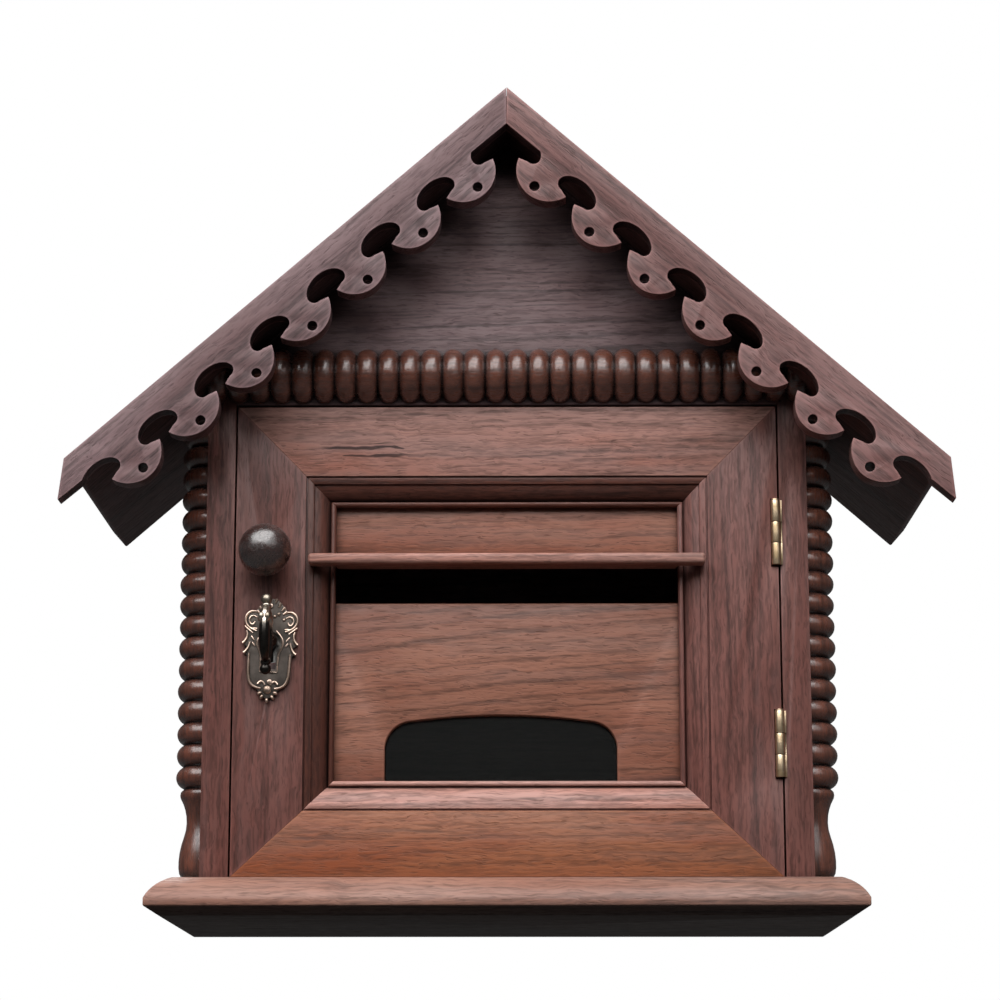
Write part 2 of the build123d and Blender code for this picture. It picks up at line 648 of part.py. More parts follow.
def moulding(start, inward, length):
    """One mitred length of moulding, from a corner of the frame along one side."""
    along = (-inward[1], 0, inward[0])
    corner = Plane(origin=(start[0], DOOR_FACE, start[1]), x_dir=(inward[0], 0, inward[1]),
                   z_dir=along)
    strip = extrude(corner * moulding_face(), amount=length)
    depth = (DOOR_FACE, PANEL_BACK)
    width = MOULDING_WIDTH
    a = start
    b = (start[0] + along[0] * length, start[1] + along[2] * length)
    mitre = [a, (a[0] + (inward[0] + along[0]) * width, a[1] + (inward[1] + along[2]) * width),
             (b[0] + (inward[0] - along[0]) * width, b[1] + (inward[1] - along[2]) * width), b]
    return strip & prism(mitre, depth)


def mouldings():
    """The four lengths of moulding round the panels."""
    high = FRAME_TOP - FRAME_BOTTOM
    wide = 2 * FRAME_INSIDE
    return {"moulding_left": moulding((-FRAME_INSIDE, FRAME_BOTTOM), (1, 0), high),
            "moulding_right": moulding((FRAME_INSIDE, FRAME_TOP), (-1, 0), high),
            "moulding_top": moulding((-FRAME_INSIDE, FRAME_TOP), (0, -1), wide),
            "moulding_bottom": moulding((FRAME_INSIDE, FRAME_BOTTOM), (0, 1), wide)}


def panel_board(low, high):
    """A panel between two heights, held in the rebate of the moulding."""
    half = SIGHT_INSIDE + MOULDING_REBATE
    return block((-half, half), (PANEL_FACE, PANEL_BACK), (low, high))


def window_shape():
    """The flat-bottomed arched window, drawn as seen from the front."""
    half = WINDOW_WIDTH / 2
    low = SIGHT_BOTTOM - MOULDING_REBATE
    high = SIGHT_BOTTOM + WINDOW_HEIGHT
    shoulder = high - WINDOW_CROWN - WINDOW_CORNER
    corner = WINDOW_CORNER * ROUND_MIDDLE
    turn = half - WINDOW_CORNER
    edges = [Polyline((-half, shoulder), (-half, low), (half, low), (half, shoulder)),
             ThreePointArc((half, shoulder), (half - corner, high - WINDOW_CROWN - corner),
                           (turn, high - WINDOW_CROWN)),
             ThreePointArc((turn, high - WINDOW_CROWN), (0, high), (-turn, high - WINDOW_CROWN)),
             ThreePointArc((-turn, high - WINDOW_CROWN),
                           (corner - half, high - WINDOW_CROWN - corner), (-half, shoulder))]
    return Pos(-WINDOW_OFFSET, 0) * make_face(edges)


def lower_panel():
    """The panel below the letter slot, with the window in its lower edge."""
    panel = panel_board(SIGHT_BOTTOM - MOULDING_REBATE, SLOT_BOTTOM)
    return panel - front_shape(window_shape(), (PANEL_FACE, PANEL_BACK))


def window_pane():
    """The glass, fixed to the back of the lower panel."""
    half = WINDOW_WIDTH / 2 + PANE_LAP
    return block((-half - WINDOW_OFFSET, half - WINDOW_OFFSET), (PANEL_BACK, PANEL_BACK + PANE_THICKNESS),
                 (SIGHT_BOTTOM - MOULDING_REBATE, SIGHT_BOTTOM + WINDOW_HEIGHT + PANE_LAP))


def slot_hood():
    """The rain strip over the letter slot, on the mouldings and the upper panel."""
    low = SLOT_TOP - HOOD_DROP
    z = (low, low + HOOD_THICKNESS)
    half = FRAME_INSIDE - HOOD_END_MARGIN
    front = DOOR_FACE - HOOD_PROJECTION
    strip = block((-half, half), (front, DOOR_FACE), z)
    strip = fillet(strip.edges().filter_by(Axis.X).group_by(Axis.Y)[0], HOOD_EDGE_RADIUS)
    tongue = block((-SIGHT_INSIDE, SIGHT_INSIDE), (DOOR_FACE, PANEL_FACE), z)
    return strip + tongue


def knob():
    """The turned knob, on a small flange, with a blind hole for its screw."""
    ball = KNOB_LENGTH - KNOB_RADIUS
    join = ball - sqrt(KNOB_RADIUS ** 2 - KNOB_JOIN_RADIUS ** 2)
    edges = [Line((KNOB_FLANGE_RADIUS, 0, 0), (KNOB_FLANGE_RADIUS, 0, KNOB_FLANGE_HEIGHT)),
             Line((KNOB_FLANGE_RADIUS, 0, KNOB_FLANGE_HEIGHT), (KNOB_NECK_RADIUS, 0, KNOB_FLANGE_HEIGHT)),
             Line((KNOB_NECK_RADIUS, 0, KNOB_FLANGE_HEIGHT), (KNOB_JOIN_RADIUS, 0, join)),
             ThreePointArc((KNOB_JOIN_RADIUS, 0, join), (KNOB_RADIUS, 0, ball), (0, 0, KNOB_LENGTH))]
    low = (0, 0, 0)
    closing = [Line(low, edges[0] @ 0), Line((0, 0, KNOB_LENGTH), low)]
    turned_knob = revolve(make_face(closing + edges), Axis.Z)
    bite = KNOB_SCREW_BITE
    turned_knob -= Pos(0, 0, bite / 2) * Cylinder(KNOB_SCREW_RADIUS + SCREW_HOLE_CLEARANCE, bite)
    x, z = knob_place()
    return aimed((x, DOOR_FACE, z), (0, -1, 0)) * turned_knob


def knob_screw():
    """The round-headed screw that holds the knob from inside the door."""
    x, z = knob_place()
    shank = cylinder_y(KNOB_SCREW_RADIUS, (DOOR_FACE - KNOB_SCREW_BITE, DOOR_BACK), x, z)
    head = cylinder_y(KNOB_SCREW_HEAD_RADIUS, (DOOR_BACK, DOOR_BACK + KNOB_SCREW_HEAD_HEIGHT), x, z)
    return shank + head


def hinge_case_leaf(middle):
    """The leaf on the side wall, with the two outer knuckles."""
    half = HINGE_LENGTH / 2
    third = HINGE_LENGTH / 6
    leaf = leaf_recess(middle, (WALL_INSIDE, WALL_INSIDE + HINGE_LEAF_THICKNESS))
    leaf -= cylinder_z(KNUCKLE_RADIUS + KNUCKLE_NOTCH_GAP, (middle - third, middle + third),
                       HINGE_X, HINGE_Y)
    arm = HINGE_LEAF_THICKNESS / 2
    for low, high in ((-half, -third), (third, half)):
        z = (middle + low, middle + high)
        leaf += cylinder_z(KNUCKLE_RADIUS, z, HINGE_X, HINGE_Y)
        leaf += block((HINGE_X, WALL_INSIDE + HINGE_LEAF_THICKNESS), (HINGE_Y - arm, HINGE_Y + arm), z)
    leaf -= cylinder_z(HINGE_PIN_RADIUS + RUNNING_CLEARANCE, (middle - half, middle + half),
                       HINGE_X, HINGE_Y)
    for place in hinge_screw_places((-1, 0, 0)):
        leaf -= countersunk(place, SCREW_HOLE_CLEARANCE)
    return leaf


def hinge_door_leaf(middle):
    """The leaf on the door, with the middle knuckle."""
    inner = HINGE_LENGTH / 6 - KNUCKLE_GAP
    x = (DOOR_EDGE - HINGE_LEAF_THICKNESS, DOOR_EDGE)
    leaf = leaf_recess(middle, x)
    notch = KNUCKLE_RADIUS + KNUCKLE_NOTCH_GAP
    leaf -= cylinder_z(notch, (middle - HINGE_LENGTH, middle + HINGE_LENGTH), HINGE_X, HINGE_Y)
    z = (middle - inner, middle + inner)
    leaf += cylinder_z(KNUCKLE_RADIUS, z, HINGE_X, HINGE_Y)
    leaf += block(x, (HINGE_Y, HINGE_Y + notch + HINGE_LEAF_THICKNESS), z)
    leaf -= cylinder_z(HINGE_PIN_RADIUS + RUNNING_CLEARANCE, z, HINGE_X, HINGE_Y)
    for place in hinge_screw_places((1, 0, 0)):
        leaf -= countersunk(place, SCREW_HOLE_CLEARANCE)
    return leaf


def hinge_pin(middle):
    """The hinge pin, with a flat head that rests on the top knuckle."""
    half = HINGE_LENGTH / 2
    pin = cylinder_z(HINGE_PIN_RADIUS, (middle - half, middle + half), HINGE_X, HINGE_Y)
    head = (middle + half, middle + half + HINGE_PIN_HEAD_HEIGHT)
    return pin + cylinder_z(HINGE_PIN_HEAD_RADIUS, head, HINGE_X, HINGE_Y)


def strike_plate():
    """The plate that the bolt enters, flush in the side wall."""
    plate = strike_outline((-WALL_INSIDE - HINGE_LEAF_THICKNESS, -WALL_INSIDE))
    plate -= bolt_passage((-WALL_INSIDE - HINGE_LEAF_THICKNESS, -WALL_INSIDE))
    for place in strike_places():
        plate -= countersunk(place, SCREW_HOLE_CLEARANCE)
    return plate


def lock_faceplate():
    """The lock's faceplate, in the door's edge."""
    plate = faceplate_blank() - bolt_passage((-DOOR_EDGE, FACEPLATE_THICKNESS - DOOR_EDGE))
    for place in faceplate_places():
        plate -= countersunk(place, SCREW_HOLE_CLEARANCE)
    return plate


def lock_case():
    """The lock's sheet-metal case, open at the back, with a bearing for the cam."""
    left = FACEPLATE_THICKNESS - DOOR_EDGE
    right = left + LOCK_CASE_WIDTH
    half = LOCK_CASE_HEIGHT / 2
    sheet = LOCK_SHEET
    case = block((left, right), (LOCK_FRONT, LOCK_BACK - sheet), (LOCK_Z - half, LOCK_Z + half))
    case -= block((left + sheet, right - sheet), (LOCK_FRONT + sheet, LOCK_BACK - sheet),
                  (LOCK_Z - half + sheet, LOCK_Z + half - sheet))
    case -= cylinder_y(CAM_BOSS_RADIUS + RUNNING_CLEARANCE, (LOCK_FRONT, LOCK_FRONT + sheet),
                       LOCK_X, LOCK_Z)
    return case - bolt_passage((left, left + sheet))


def lock_cover():
    """The lock's flat back cover."""
    left = FACEPLATE_THICKNESS - DOOR_EDGE
    half = LOCK_CASE_HEIGHT / 2
    return block((left, left + LOCK_CASE_WIDTH), (LOCK_BACK - LOCK_SHEET, LOCK_BACK),
                 (LOCK_Z - half, LOCK_Z + half))


def crank_place():
    """The crank pin's middle at rest, half of the cam's travel right of the top."""
    start = radians(CAM_TURN / 2)
    return LOCK_X + CRANK_RADIUS * sin(start), LOCK_Z + CRANK_RADIUS * cos(start)


def lock_cam():
    """The turning cam, with the key's slot and a crank pin that drives the bolt."""
    front = LOCK_FRONT + CAM_END_GAP
    cam = cylinder_y(CAM_BOSS_RADIUS, (front, CAM_FLANGE_FRONT), LOCK_X, LOCK_Z)
    cam += cylinder_y(CAM_FLANGE_RADIUS, (CAM_FLANGE_FRONT, CAM_FLANGE_BACK), LOCK_X, LOCK_Z)
    cam -= cylinder_y(KEY_STEM_RADIUS + KEY_FIT, (front, CAM_FLANGE_BACK), LOCK_X, LOCK_Z)
    half = KEY_BIT_THICKNESS / 2 + KEY_FIT
    cam -= block((LOCK_X - half, LOCK_X + half), (front, CAM_FLANGE_BACK),
                 (LOCK_Z - KEY_BIT_REACH - KEY_FIT, LOCK_Z))
    x, z = crank_place()
    return cam + cylinder_y(CRANK_PIN_RADIUS, (CAM_FLANGE_BACK, BOLT_BACK), x, z)


def lock_bolt():
    """The flat bolt, with an upright slot for the crank pin."""
    z = (BOLT_Z - BOLT_HEIGHT / 2, BOLT_Z + BOLT_HEIGHT / 2)
    bolt = block((-DOOR_EDGE, BOLT_LENGTH - DOOR_EDGE), (BOLT_FRONT, BOLT_BACK), z)
    x, low = crank_place()
    half = CRANK_PIN_RADIUS + CRANK_SLOT_GAP
    slot = block((x - half, x + half), (BOLT_FRONT, BOLT_BACK), (low - half, LOCK_Z + CRANK_RADIUS + half))
    return bolt - slot


def key():
    """The key, pushed home, with its bow seen edge-on from the front."""
    face = DOOR_FACE - ESCUTCHEON_THICKNESS - ESCUTCHEON_RIM_HEIGHT
    bow_inner = face - KEY_BOW_STANDOFF
    collar = face - KEY_COLLAR_STANDOFF
    tip = CAM_FLANGE_BACK - KEY_FIT
    stem = cylinder_y(KEY_STEM_RADIUS, (bow_inner, tip), LOCK_X, LOCK_Z)
    stem += cylinder_y(KEY_COLLAR_RADIUS, (collar - KEY_COLLAR_LENGTH, collar), LOCK_X, LOCK_Z)
    half = KEY_BIT_THICKNESS / 2
    stem += block((LOCK_X - half, LOCK_X + half), (LOCK_FRONT + CAM_END_GAP, tip),
                  (LOCK_Z - KEY_BIT_REACH, LOCK_Z))
    bow = Ellipse(KEY_BOW_LENGTH / 2, KEY_BOW_HEIGHT / 2)
    bow -= Ellipse(KEY_BOW_LENGTH / 2 - KEY_BOW_RIM, KEY_BOW_HEIGHT / 2 - KEY_BOW_RIM)
    middle = bow_inner - KEY_BOW_LENGTH / 2 + KEY_BOW_RIM / 2
    bow_plane = Plane(origin=(LOCK_X, middle, LOCK_Z), x_dir=(0, 1, 0), z_dir=(1, 0, 0))
    shape = stem + extrude(bow_plane * bow, amount=KEY_BOW_THICKNESS / 2, both=True)
    for side in (-1, 1):
        height = side * (KEY_BOW_HEIGHT / 2 + KEY_BALL_RISE)
        shape += Pos(LOCK_X, middle, LOCK_Z + height) * Sphere(KEY_BALL_RADIUS)
    return shape


def escutcheon_sketch():
    """The keyhole plate's outline, with its crest, scrolls, curls and shell."""
    plate = Pos(0, -PLATE_CENTRE_DROP) * Ellipse(PLATE_HALF_WIDTH, PLATE_HALF_HEIGHT)
    plate += Pos(0, SCROLL_RISE) * Ellipse(CREST_HALF_WIDTH, CREST_HEIGHT - SCROLL_RISE)
    plate += Pos(0, -SHELL_DROP) * Circle(SHELL_RADIUS)
    for side in (-1, 1):
        plate += Pos(side * SCROLL_OFFSET, SCROLL_RISE) * Circle(SCROLL_RADIUS)
        for step in (0, 1):
            plate += Pos(side * CURL_OFFSET, CURL_RISE - step * CURL_SPACING) * Circle(CURL_RADIUS)
    return plate


def keyhole_sketch():
    """The keyhole: a round opening over a slot for the bit."""
    hole = Circle(KEYHOLE_RADIUS)
    return hole + Pos(0, -KEYHOLE_SLOT_DEPTH / 2) * Rectangle(KEYHOLE_SLOT_WIDTH, KEYHOLE_SLOT_DEPTH)


def escutcheon():
    """The keyhole plate, with a raised rim round its lower oval."""
    place = Pos(LOCK_X, 0, LOCK_Z)
    face = DOOR_FACE - ESCUTCHEON_THICKNESS
    plate = place * front_shape(escutcheon_sketch(), (face, DOOR_FACE))
    outer = Ellipse(PLATE_HALF_WIDTH, PLATE_HALF_HEIGHT)
    rim = outer - Ellipse(PLATE_HALF_WIDTH - ESCUTCHEON_RIM_WIDTH, PLATE_HALF_HEIGHT - ESCUTCHEON_RIM_WIDTH)
    plate += place * front_shape(Pos(0, -PLATE_CENTRE_DROP) * rim, (face - ESCUTCHEON_RIM_HEIGHT, face))
    plate -= place * front_shape(keyhole_sketch(), (face - ESCUTCHEON_RIM_HEIGHT, DOOR_FACE))
    for point in nail_points():
        plate -= nail(point, SCREW_HOLE_CLEARANCE)
    return plate


def nail_points():
    """Where the escutcheon's two nails sit, in X and Z."""
    return [(LOCK_X, LOCK_Z + NAIL_RISE), (LOCK_X, LOCK_Z - NAIL_DROP)]


def nail(point, clearance=0.0):
    """A small nail with its flat head on the plate, or the hole for its shank."""
    face = DOOR_FACE - ESCUTCHEON_THICKNESS
    shank = cylinder_y(NAIL_RADIUS + clearance, (face, DOOR_FACE + NAIL_LENGTH), *point)
    if clearance:
        return shank
    return shank + cylinder_y(NAIL_HEAD_RADIUS, (face - NAIL_HEAD_HEIGHT, face), *point)


def case_pieces():
    """The pieces that stay still."""
    pieces = {"base_board": base_board(), "side_wall_left": side_wall_left(),
              "side_wall_right": side_wall_right(), "back_panel": back_panel(),
              "gable_panel": gable_panel(), "roof_board_right": roof_board(),
              "roof_board_left": mirrored(roof_board()), "bargeboard_right": bargeboard(),
              "bargeboard_left": mirrored(bargeboard()), "gable_rod": gable_rod(),
              "column_right": column(), "column_left": mirrored(column()),
              "strike_plate": strike_plate(),
              "strike_screws": all_of(countersunk(place) for place in strike_places()),
              "hinge_case_screws": all_of(countersunk(place)
                                          for place in hinge_screw_places((-1, 0, 0)))}
    for name, middle in hinge_heights().items():
        pieces["hinge_case_leaf_" + name] = hinge_case_leaf(middle)
        pieces["hinge_pin_" + name] = hinge_pin(middle)
    return pieces


def door_pieces():
    """The pieces that swing with the door."""
    rebate_top = SIGHT_TOP + MOULDING_REBATE
    pieces = {"door_stile_left": stile_left(), "door_stile_right": stile_right(),
              "door_rail_top": rail(DOOR_TOP, FRAME_TOP),
              "door_rail_bottom": rail(DOOR_BOTTOM, FRAME_BOTTOM),
              "door_panel_upper": panel_board(SLOT_TOP, rebate_top),
              "door_panel_lower": lower_panel(), "window_pane": window_pane(),
              "slot_hood": slot_hood(), "knob": knob(), "knob_screw": knob_screw(),
              "escutcheon": escutcheon(),
              "escutcheon_nails": all_of(nail(point) for point in nail_points()),
              "lock_faceplate": lock_faceplate(), "lock_case": lock_case(),
              "lock_cover": lock_cover(),
              "lock_screws": all_of(countersunk(place) for place in faceplate_places()),
              "hinge_door_screws": all_of(countersunk(place)
                                          for place in hinge_screw_places((1, 0, 0)))}
    pieces.update(mouldings())
    for name, middle in hinge_heights().items():
        pieces["hinge_door_leaf_" + name] = hinge_door_leaf(middle)
    return pieces


def main():
    """Write each piece to its own file."""
    os.makedirs("parts", exist_ok=True)
    pieces = {**case_pieces(), **door_pieces(),
              "lock_cam": lock_cam(), "lock_bolt": lock_bolt(), "key": key()}
    for name, shape in pieces.items():
        export_step(shape, "parts/" + name + ".step")
    print(len(pieces), "pieces, ridge at", round(RIDGE, 2))


if __name__ == "__main__":
    main()
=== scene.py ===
"""The looks of a house-shaped suggestion box: its pieces, finishes, light and camera, in metres.

+X runs to the right of a person who faces the door, +Y from the door to the back, and +Z up.
"""
import logging
import math
import random
from dataclasses import dataclass
from enum import Enum
from typing import Any, Iterable, Sequence

import bmesh
import bpy
from mathutils import Euler, Matrix, Vector, noise


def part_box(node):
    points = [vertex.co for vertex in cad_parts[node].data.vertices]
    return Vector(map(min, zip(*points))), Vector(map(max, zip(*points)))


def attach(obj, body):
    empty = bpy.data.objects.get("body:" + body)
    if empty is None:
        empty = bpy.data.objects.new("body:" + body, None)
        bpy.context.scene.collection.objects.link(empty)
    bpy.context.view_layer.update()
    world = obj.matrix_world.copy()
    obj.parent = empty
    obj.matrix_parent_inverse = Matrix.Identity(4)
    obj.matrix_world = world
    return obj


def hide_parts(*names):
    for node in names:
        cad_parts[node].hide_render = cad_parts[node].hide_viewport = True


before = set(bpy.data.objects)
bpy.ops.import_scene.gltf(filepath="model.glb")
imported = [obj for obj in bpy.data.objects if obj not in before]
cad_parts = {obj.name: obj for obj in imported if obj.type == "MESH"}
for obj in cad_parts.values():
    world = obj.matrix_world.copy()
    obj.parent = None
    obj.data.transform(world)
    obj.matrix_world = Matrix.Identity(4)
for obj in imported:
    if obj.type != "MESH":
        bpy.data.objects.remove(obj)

Colour = tuple[float, float, float]
Point = tuple[float, float, float]
Pair = tuple[float, float]
Pairs = tuple[Pair, ...]
Socket = bpy.types.NodeSocket
Material = bpy.types.Material

MM = 0.001
NOISE_SEED = 1
CRACK: Colour = (0.015, 0.008, 0.007)
# The colour of the dark patches: drying cracks, and painted shade round the keyhole.
CRACK_AND_SHADE: Colour = (0.022, 0.017, 0.019)
# Near black for the wood's hollows: dirt and painted shade.
GRIME_AND_SHADE: Colour = (0.012, 0.007, 0.007)
# Near black for the metals' hollows: dirt, patina and painted shade.
DIRT_AND_SHADE: Colour = (0.012, 0.01, 0.008)
# Near black for painted shade on the key's lower bow.
SHADE_BLACK: Colour = (0.012, 0.012, 0.013)
SLOT_LENGTH, SLOT_WIDTH, SLOT_DEPTH = 4.4 * MM, 0.8 * MM, 0.7 * MM
log = logging.getLogger("suggestion_box")


class Grain(Enum):
    """Which way the grain runs, as the turn that lays it along X."""

    ACROSS = (0.0, 0.0, 0.0)
    UPRIGHT = (0.0, math.radians(90.0), 0.0)
    DEEP = (0.0, 0.0, math.radians(-90.0))
    RIGHT_SLOPE = (0.0, math.radians(-41.4), 0.0)
    LEFT_SLOPE = (0.0, math.radians(41.4), 0.0)


def toned(colour: Colour, level: float) -> Colour:
    """A colour made lighter or darker."""
    return tuple(min(part * level, 1.0) for part in colour)


@dataclass(frozen=True)
class DarkPatch:
    """Dark drying cracks, or painted shade round the keyhole, on an upright face: the middle, the reach in X and
    Z, how dense.
    """

    x: float
    z: float
    wide: float
    high: float
    dense: float = 0.13


@dataclass(frozen=True)
class Timber:
    """A kind of stained wood, by its colour between the pale early wood and the dark late wood."""

    name: str
    body: Colour
    glow: Colour
    light: float = 1.5
    deep: float = 0.42
    glow_share: float = 0.5
    bleach_share: float = 0.2
    ring: float = 4.2 * MM
    figure: float = 0.5
    roughness: float = 0.42
    gloss: float = 0.3
    coat: float = 0.08
    checks: float = 0.76
    # The next three set how strongly and how far the hollows darken: dirt and painted shade.
    grime_and_shade: float = 0.45
    reach: float = 9.0 * MM
    closed: Pair = (0.25, 0.85)
    # The next two make the edges paler: worn stain and a painted highlight.
    wear_and_highlight: float = 0.35
    worn: float = 1.5

    @property
    def bleached(self) -> Colour:
        """Where the stain has worn thin and the wood has gone grey."""
        level = 1.15 * (self.body[0] + self.body[1]) / 2
        return (level, level * 0.82, level * 0.80)

    @property
    def dark(self) -> Colour:
        """The late wood."""
        return toned(self.body, self.deep)


PLAIN = Timber("stained", (0.17, 0.072, 0.06), (0.24, 0.08, 0.046))
# A pale rose stain: on the bottom moulding and the hood it is partly painted light.
ROSE = Timber("stained_rose", (0.375, 0.195, 0.16), (0.44, 0.2, 0.09), light=1.4, deep=0.38, glow_share=0.75)
ORANGE = Timber("stained_orange", (0.245, 0.085, 0.038), (0.33, 0.12, 0.036), light=1.35, deep=0.5,
                glow_share=0.75, bleach_share=0.12)
WARM = Timber("stained_warm", (0.275, 0.12, 0.08), (0.33, 0.115, 0.045), light=1.45, deep=0.4,
              glow_share=0.6, bleach_share=0.15, figure=0.6)
PALE = Timber("stained_pale", (0.275, 0.145, 0.108), (0.3, 0.12, 0.062), light=1.4, deep=0.45)
# A very dark copy of the stain: painted shade on the left and top mouldings, which face away from the light.
SHADED = Timber("stained_shaded", (0.085, 0.03, 0.021), (0.12, 0.036, 0.02), grime_and_shade=0.8, reach=5.0 * MM)
# The weathered and russet boards darken far into their hollows: painted shade on the gable under the bargeboards
# and in the fret's cut-outs.
WEATHERED = Timber("stained_grey", (0.168, 0.105, 0.108), (0.2, 0.088, 0.066), glow_share=0.6,
                   bleach_share=0.1, ring=3.4 * MM, figure=0.6, roughness=0.5, coat=0.03, grime_and_shade=0.92,
                   reach=24.0 * MM, closed=(0.4, 0.97), wear_and_highlight=0.6)
RUSSET = Timber("stained_russet", (0.18, 0.09, 0.084), (0.21, 0.082, 0.052), ring=3.4 * MM, figure=0.6,
                roughness=0.46, coat=0.05, grime_and_shade=0.92, reach=24.0 * MM, closed=(0.4, 0.97), wear_and_highlight=0.6)
# Turned wood darkens deep into its grooves: painted shade between the beads.
TURNED = Timber("stained_turned", (0.135, 0.048, 0.031), (0.2, 0.07, 0.032), bleach_share=0.05,
                ring=2.6 * MM, roughness=0.3, gloss=0.5, coat=0.9, grime_and_shade=0.97, reach=8.0 * MM,
                closed=(0.4, 0.97), wear_and_highlight=0.3)
POLISHED = Timber("stained_polished", (0.034, 0.016, 0.014), (0.065, 0.026, 0.019), bleach_share=0.1,
                  ring=2.2 * MM, figure=0.35, roughness=0.28, gloss=1.0, coat=1.0, grime_and_shade=0.5, wear_and_highlight=0.15)


class Tree:
    """The node tree of a material or a world while it is put together."""

    def __init__(self, owner: Material | bpy.types.World) -> None:
        """Start with an empty tree.

        Args:
            owner: The material or world that it belongs to.
        """
        owner.use_nodes = True
        self.owner = owner
        self.nodes = owner.node_tree.nodes
        self.nodes.clear()
        self.colour: Any = None

    def add(self, kind: str, inputs: dict[Any, Any] | None = None, **settings: Any) -> bpy.types.Node:
        """Add a node.

        Args:
            kind: The node's type name, without its ShaderNode.
            inputs: What goes into each input: a socket, a node for its first output, or a plain value.
            settings: The node's own settings.

        Returns:
            The new node.
        """
        node = self.nodes.new("ShaderNode" + kind)
        for key, value in settings.items():
            setattr(node, key, value)
        for key, value in (inputs or {}).items():
            if isinstance(value, bpy.types.Node):
                value = value.outputs[0]
            if isinstance(value, Socket):
                self.owner.node_tree.links.new(value, node.inputs[key])
            else:
                opaque = node.inputs[key].type == "RGBA"
                node.inputs[key].default_value = (*value, 1.0) if opaque else value
        return node

    def sum(self, operation: str, first: Any, second: Any = 0.0, clamp: bool = False) -> Socket:
        """The result of a Math node."""
        return self.add("Math", {0: first, 1: second}, operation=operation, use_clamp=clamp).outputs[0]

    def times(self, first: Any, second: Any, clamp: bool = False) -> Socket:
        """Two numbers multiplied."""
        return self.sum("MULTIPLY", first, second, clamp)

    def rest(self, share: Any, clamp: bool = False) -> Socket:
        """What is left of 1."""
        return self.sum("SUBTRACT", 1.0, share, clamp)

    def mix(self, share: Any, first: Any, second: Any, mode: str = "MIX") -> Socket:
        """The colour between two colours."""
        return self.add("Mix", {0: share, 6: first, 7: second}, data_type="RGBA", blend_type=mode).outputs[2]

    def lay(self, share: Any, amount: float, colour: Any) -> None:
        """Lay a colour over what is there."""
        self.colour = self.mix(self.times(share, amount), self.colour, colour)

    def ramp(self, value: Any, stops: Sequence[tuple[float, Colour]]) -> Socket:
        """The colour that a value has on a ramp.

        Args:
            value: The socket that is read.
            stops: Places from 0 to 1, each with its colour.

        Returns:
            The ramp's colour.
        """
        node = self.add("ValToRGB", {0: value})
        elements = node.color_ramp.elements
        while len(elements) < len(stops):
            elements.new(0.5)
        for element, (place, colour) in zip(elements, stops):
            element.position = place
            element.color = (*colour, 1.0)
        return node.outputs[0]

    def step(self, value: Any, low: float, high: float) -> Socket:
        """A smooth step from 0 at low to 1 at high."""
        return self.add("MapRange", {"Value": value, "From Min": low, "From Max": high},
                        interpolation_type="SMOOTHSTEP").outputs[0]

    def length(self, vector: Any) -> Socket:
        """How long a vector is."""
        return self.add("VectorMath", {0: vector}, operation="LENGTH").outputs["Value"]

    def stretch(self, vector: Any, scale: Point) -> Socket:
        """A vector scaled by a number for each axis."""
        return self.add("VectorMath", {0: vector, 1: scale}, operation="MULTIPLY").outputs[0]

    def clouds(self, vector: Any, along: float, across: float, detail: float = 2.0,
               rough: float = 0.5) -> Socket:
        """Soft noise, with so many features a metre along the grain and across it."""
        return self.add("TexNoise", {"Vector": self.stretch(vector, (along, across, across)), "Scale": 1.0,
                                     "Detail": detail, "Roughness": rough}).outputs[0]

    def place(self, turn: Point = (0.0, 0.0, 0.0), shift: Point = (0.0, 0.0, 0.0),
              vector: Any = None) -> Socket:
        """The piece's own coordinates, turned and shifted."""
        start = vector or self.add("TexCoord").outputs["Object"]
        return self.add("Mapping", {"Vector": start, "Rotation": turn, "Location": shift}).outputs[0]

    def hollows(self, reach: float, edges: bool = False) -> Socket:
        """How open the surface is, or with edges how far it is from a sharp edge."""
        return self.add("AmbientOcclusion", {"Distance": reach}, samples=6, inside=edges,
                        only_local=edges).outputs["AO"]

    def surface(self, height: Any, strength: float, depth: float, inputs: dict[Any, Any]) -> Material:
        """Close the tree with one shader of its colour, and its relief.

        Args:
            height: The relief, from 0 to 1.
            strength: How strongly the relief shows.
            depth: How deep it is.
            inputs: The shader's other inputs.

        Returns:
            The finished material.
        """
        bump = self.add("Bump", {"Strength": strength, "Distance": depth, "Height": height})
        shader = self.add("BsdfPrincipled", {**inputs, "Base Color": self.colour, "Normal": bump})
        self.add("OutputMaterial", {"Surface": shader})
        return self.owner


@dataclass(frozen=True)
class Wood:
    """A board's timber, which way its grain runs, where it lay in the log, and its dark patches: drying cracks,
    and painted shade round the keyhole.
    """

    timber: Timber
    grain: Grain
    heart: Point = (0.0, 0.030, 0.034)
    lean: Point = (0.0, 0.02, 0.03)
    scars: tuple[DarkPatch, ...] = ()


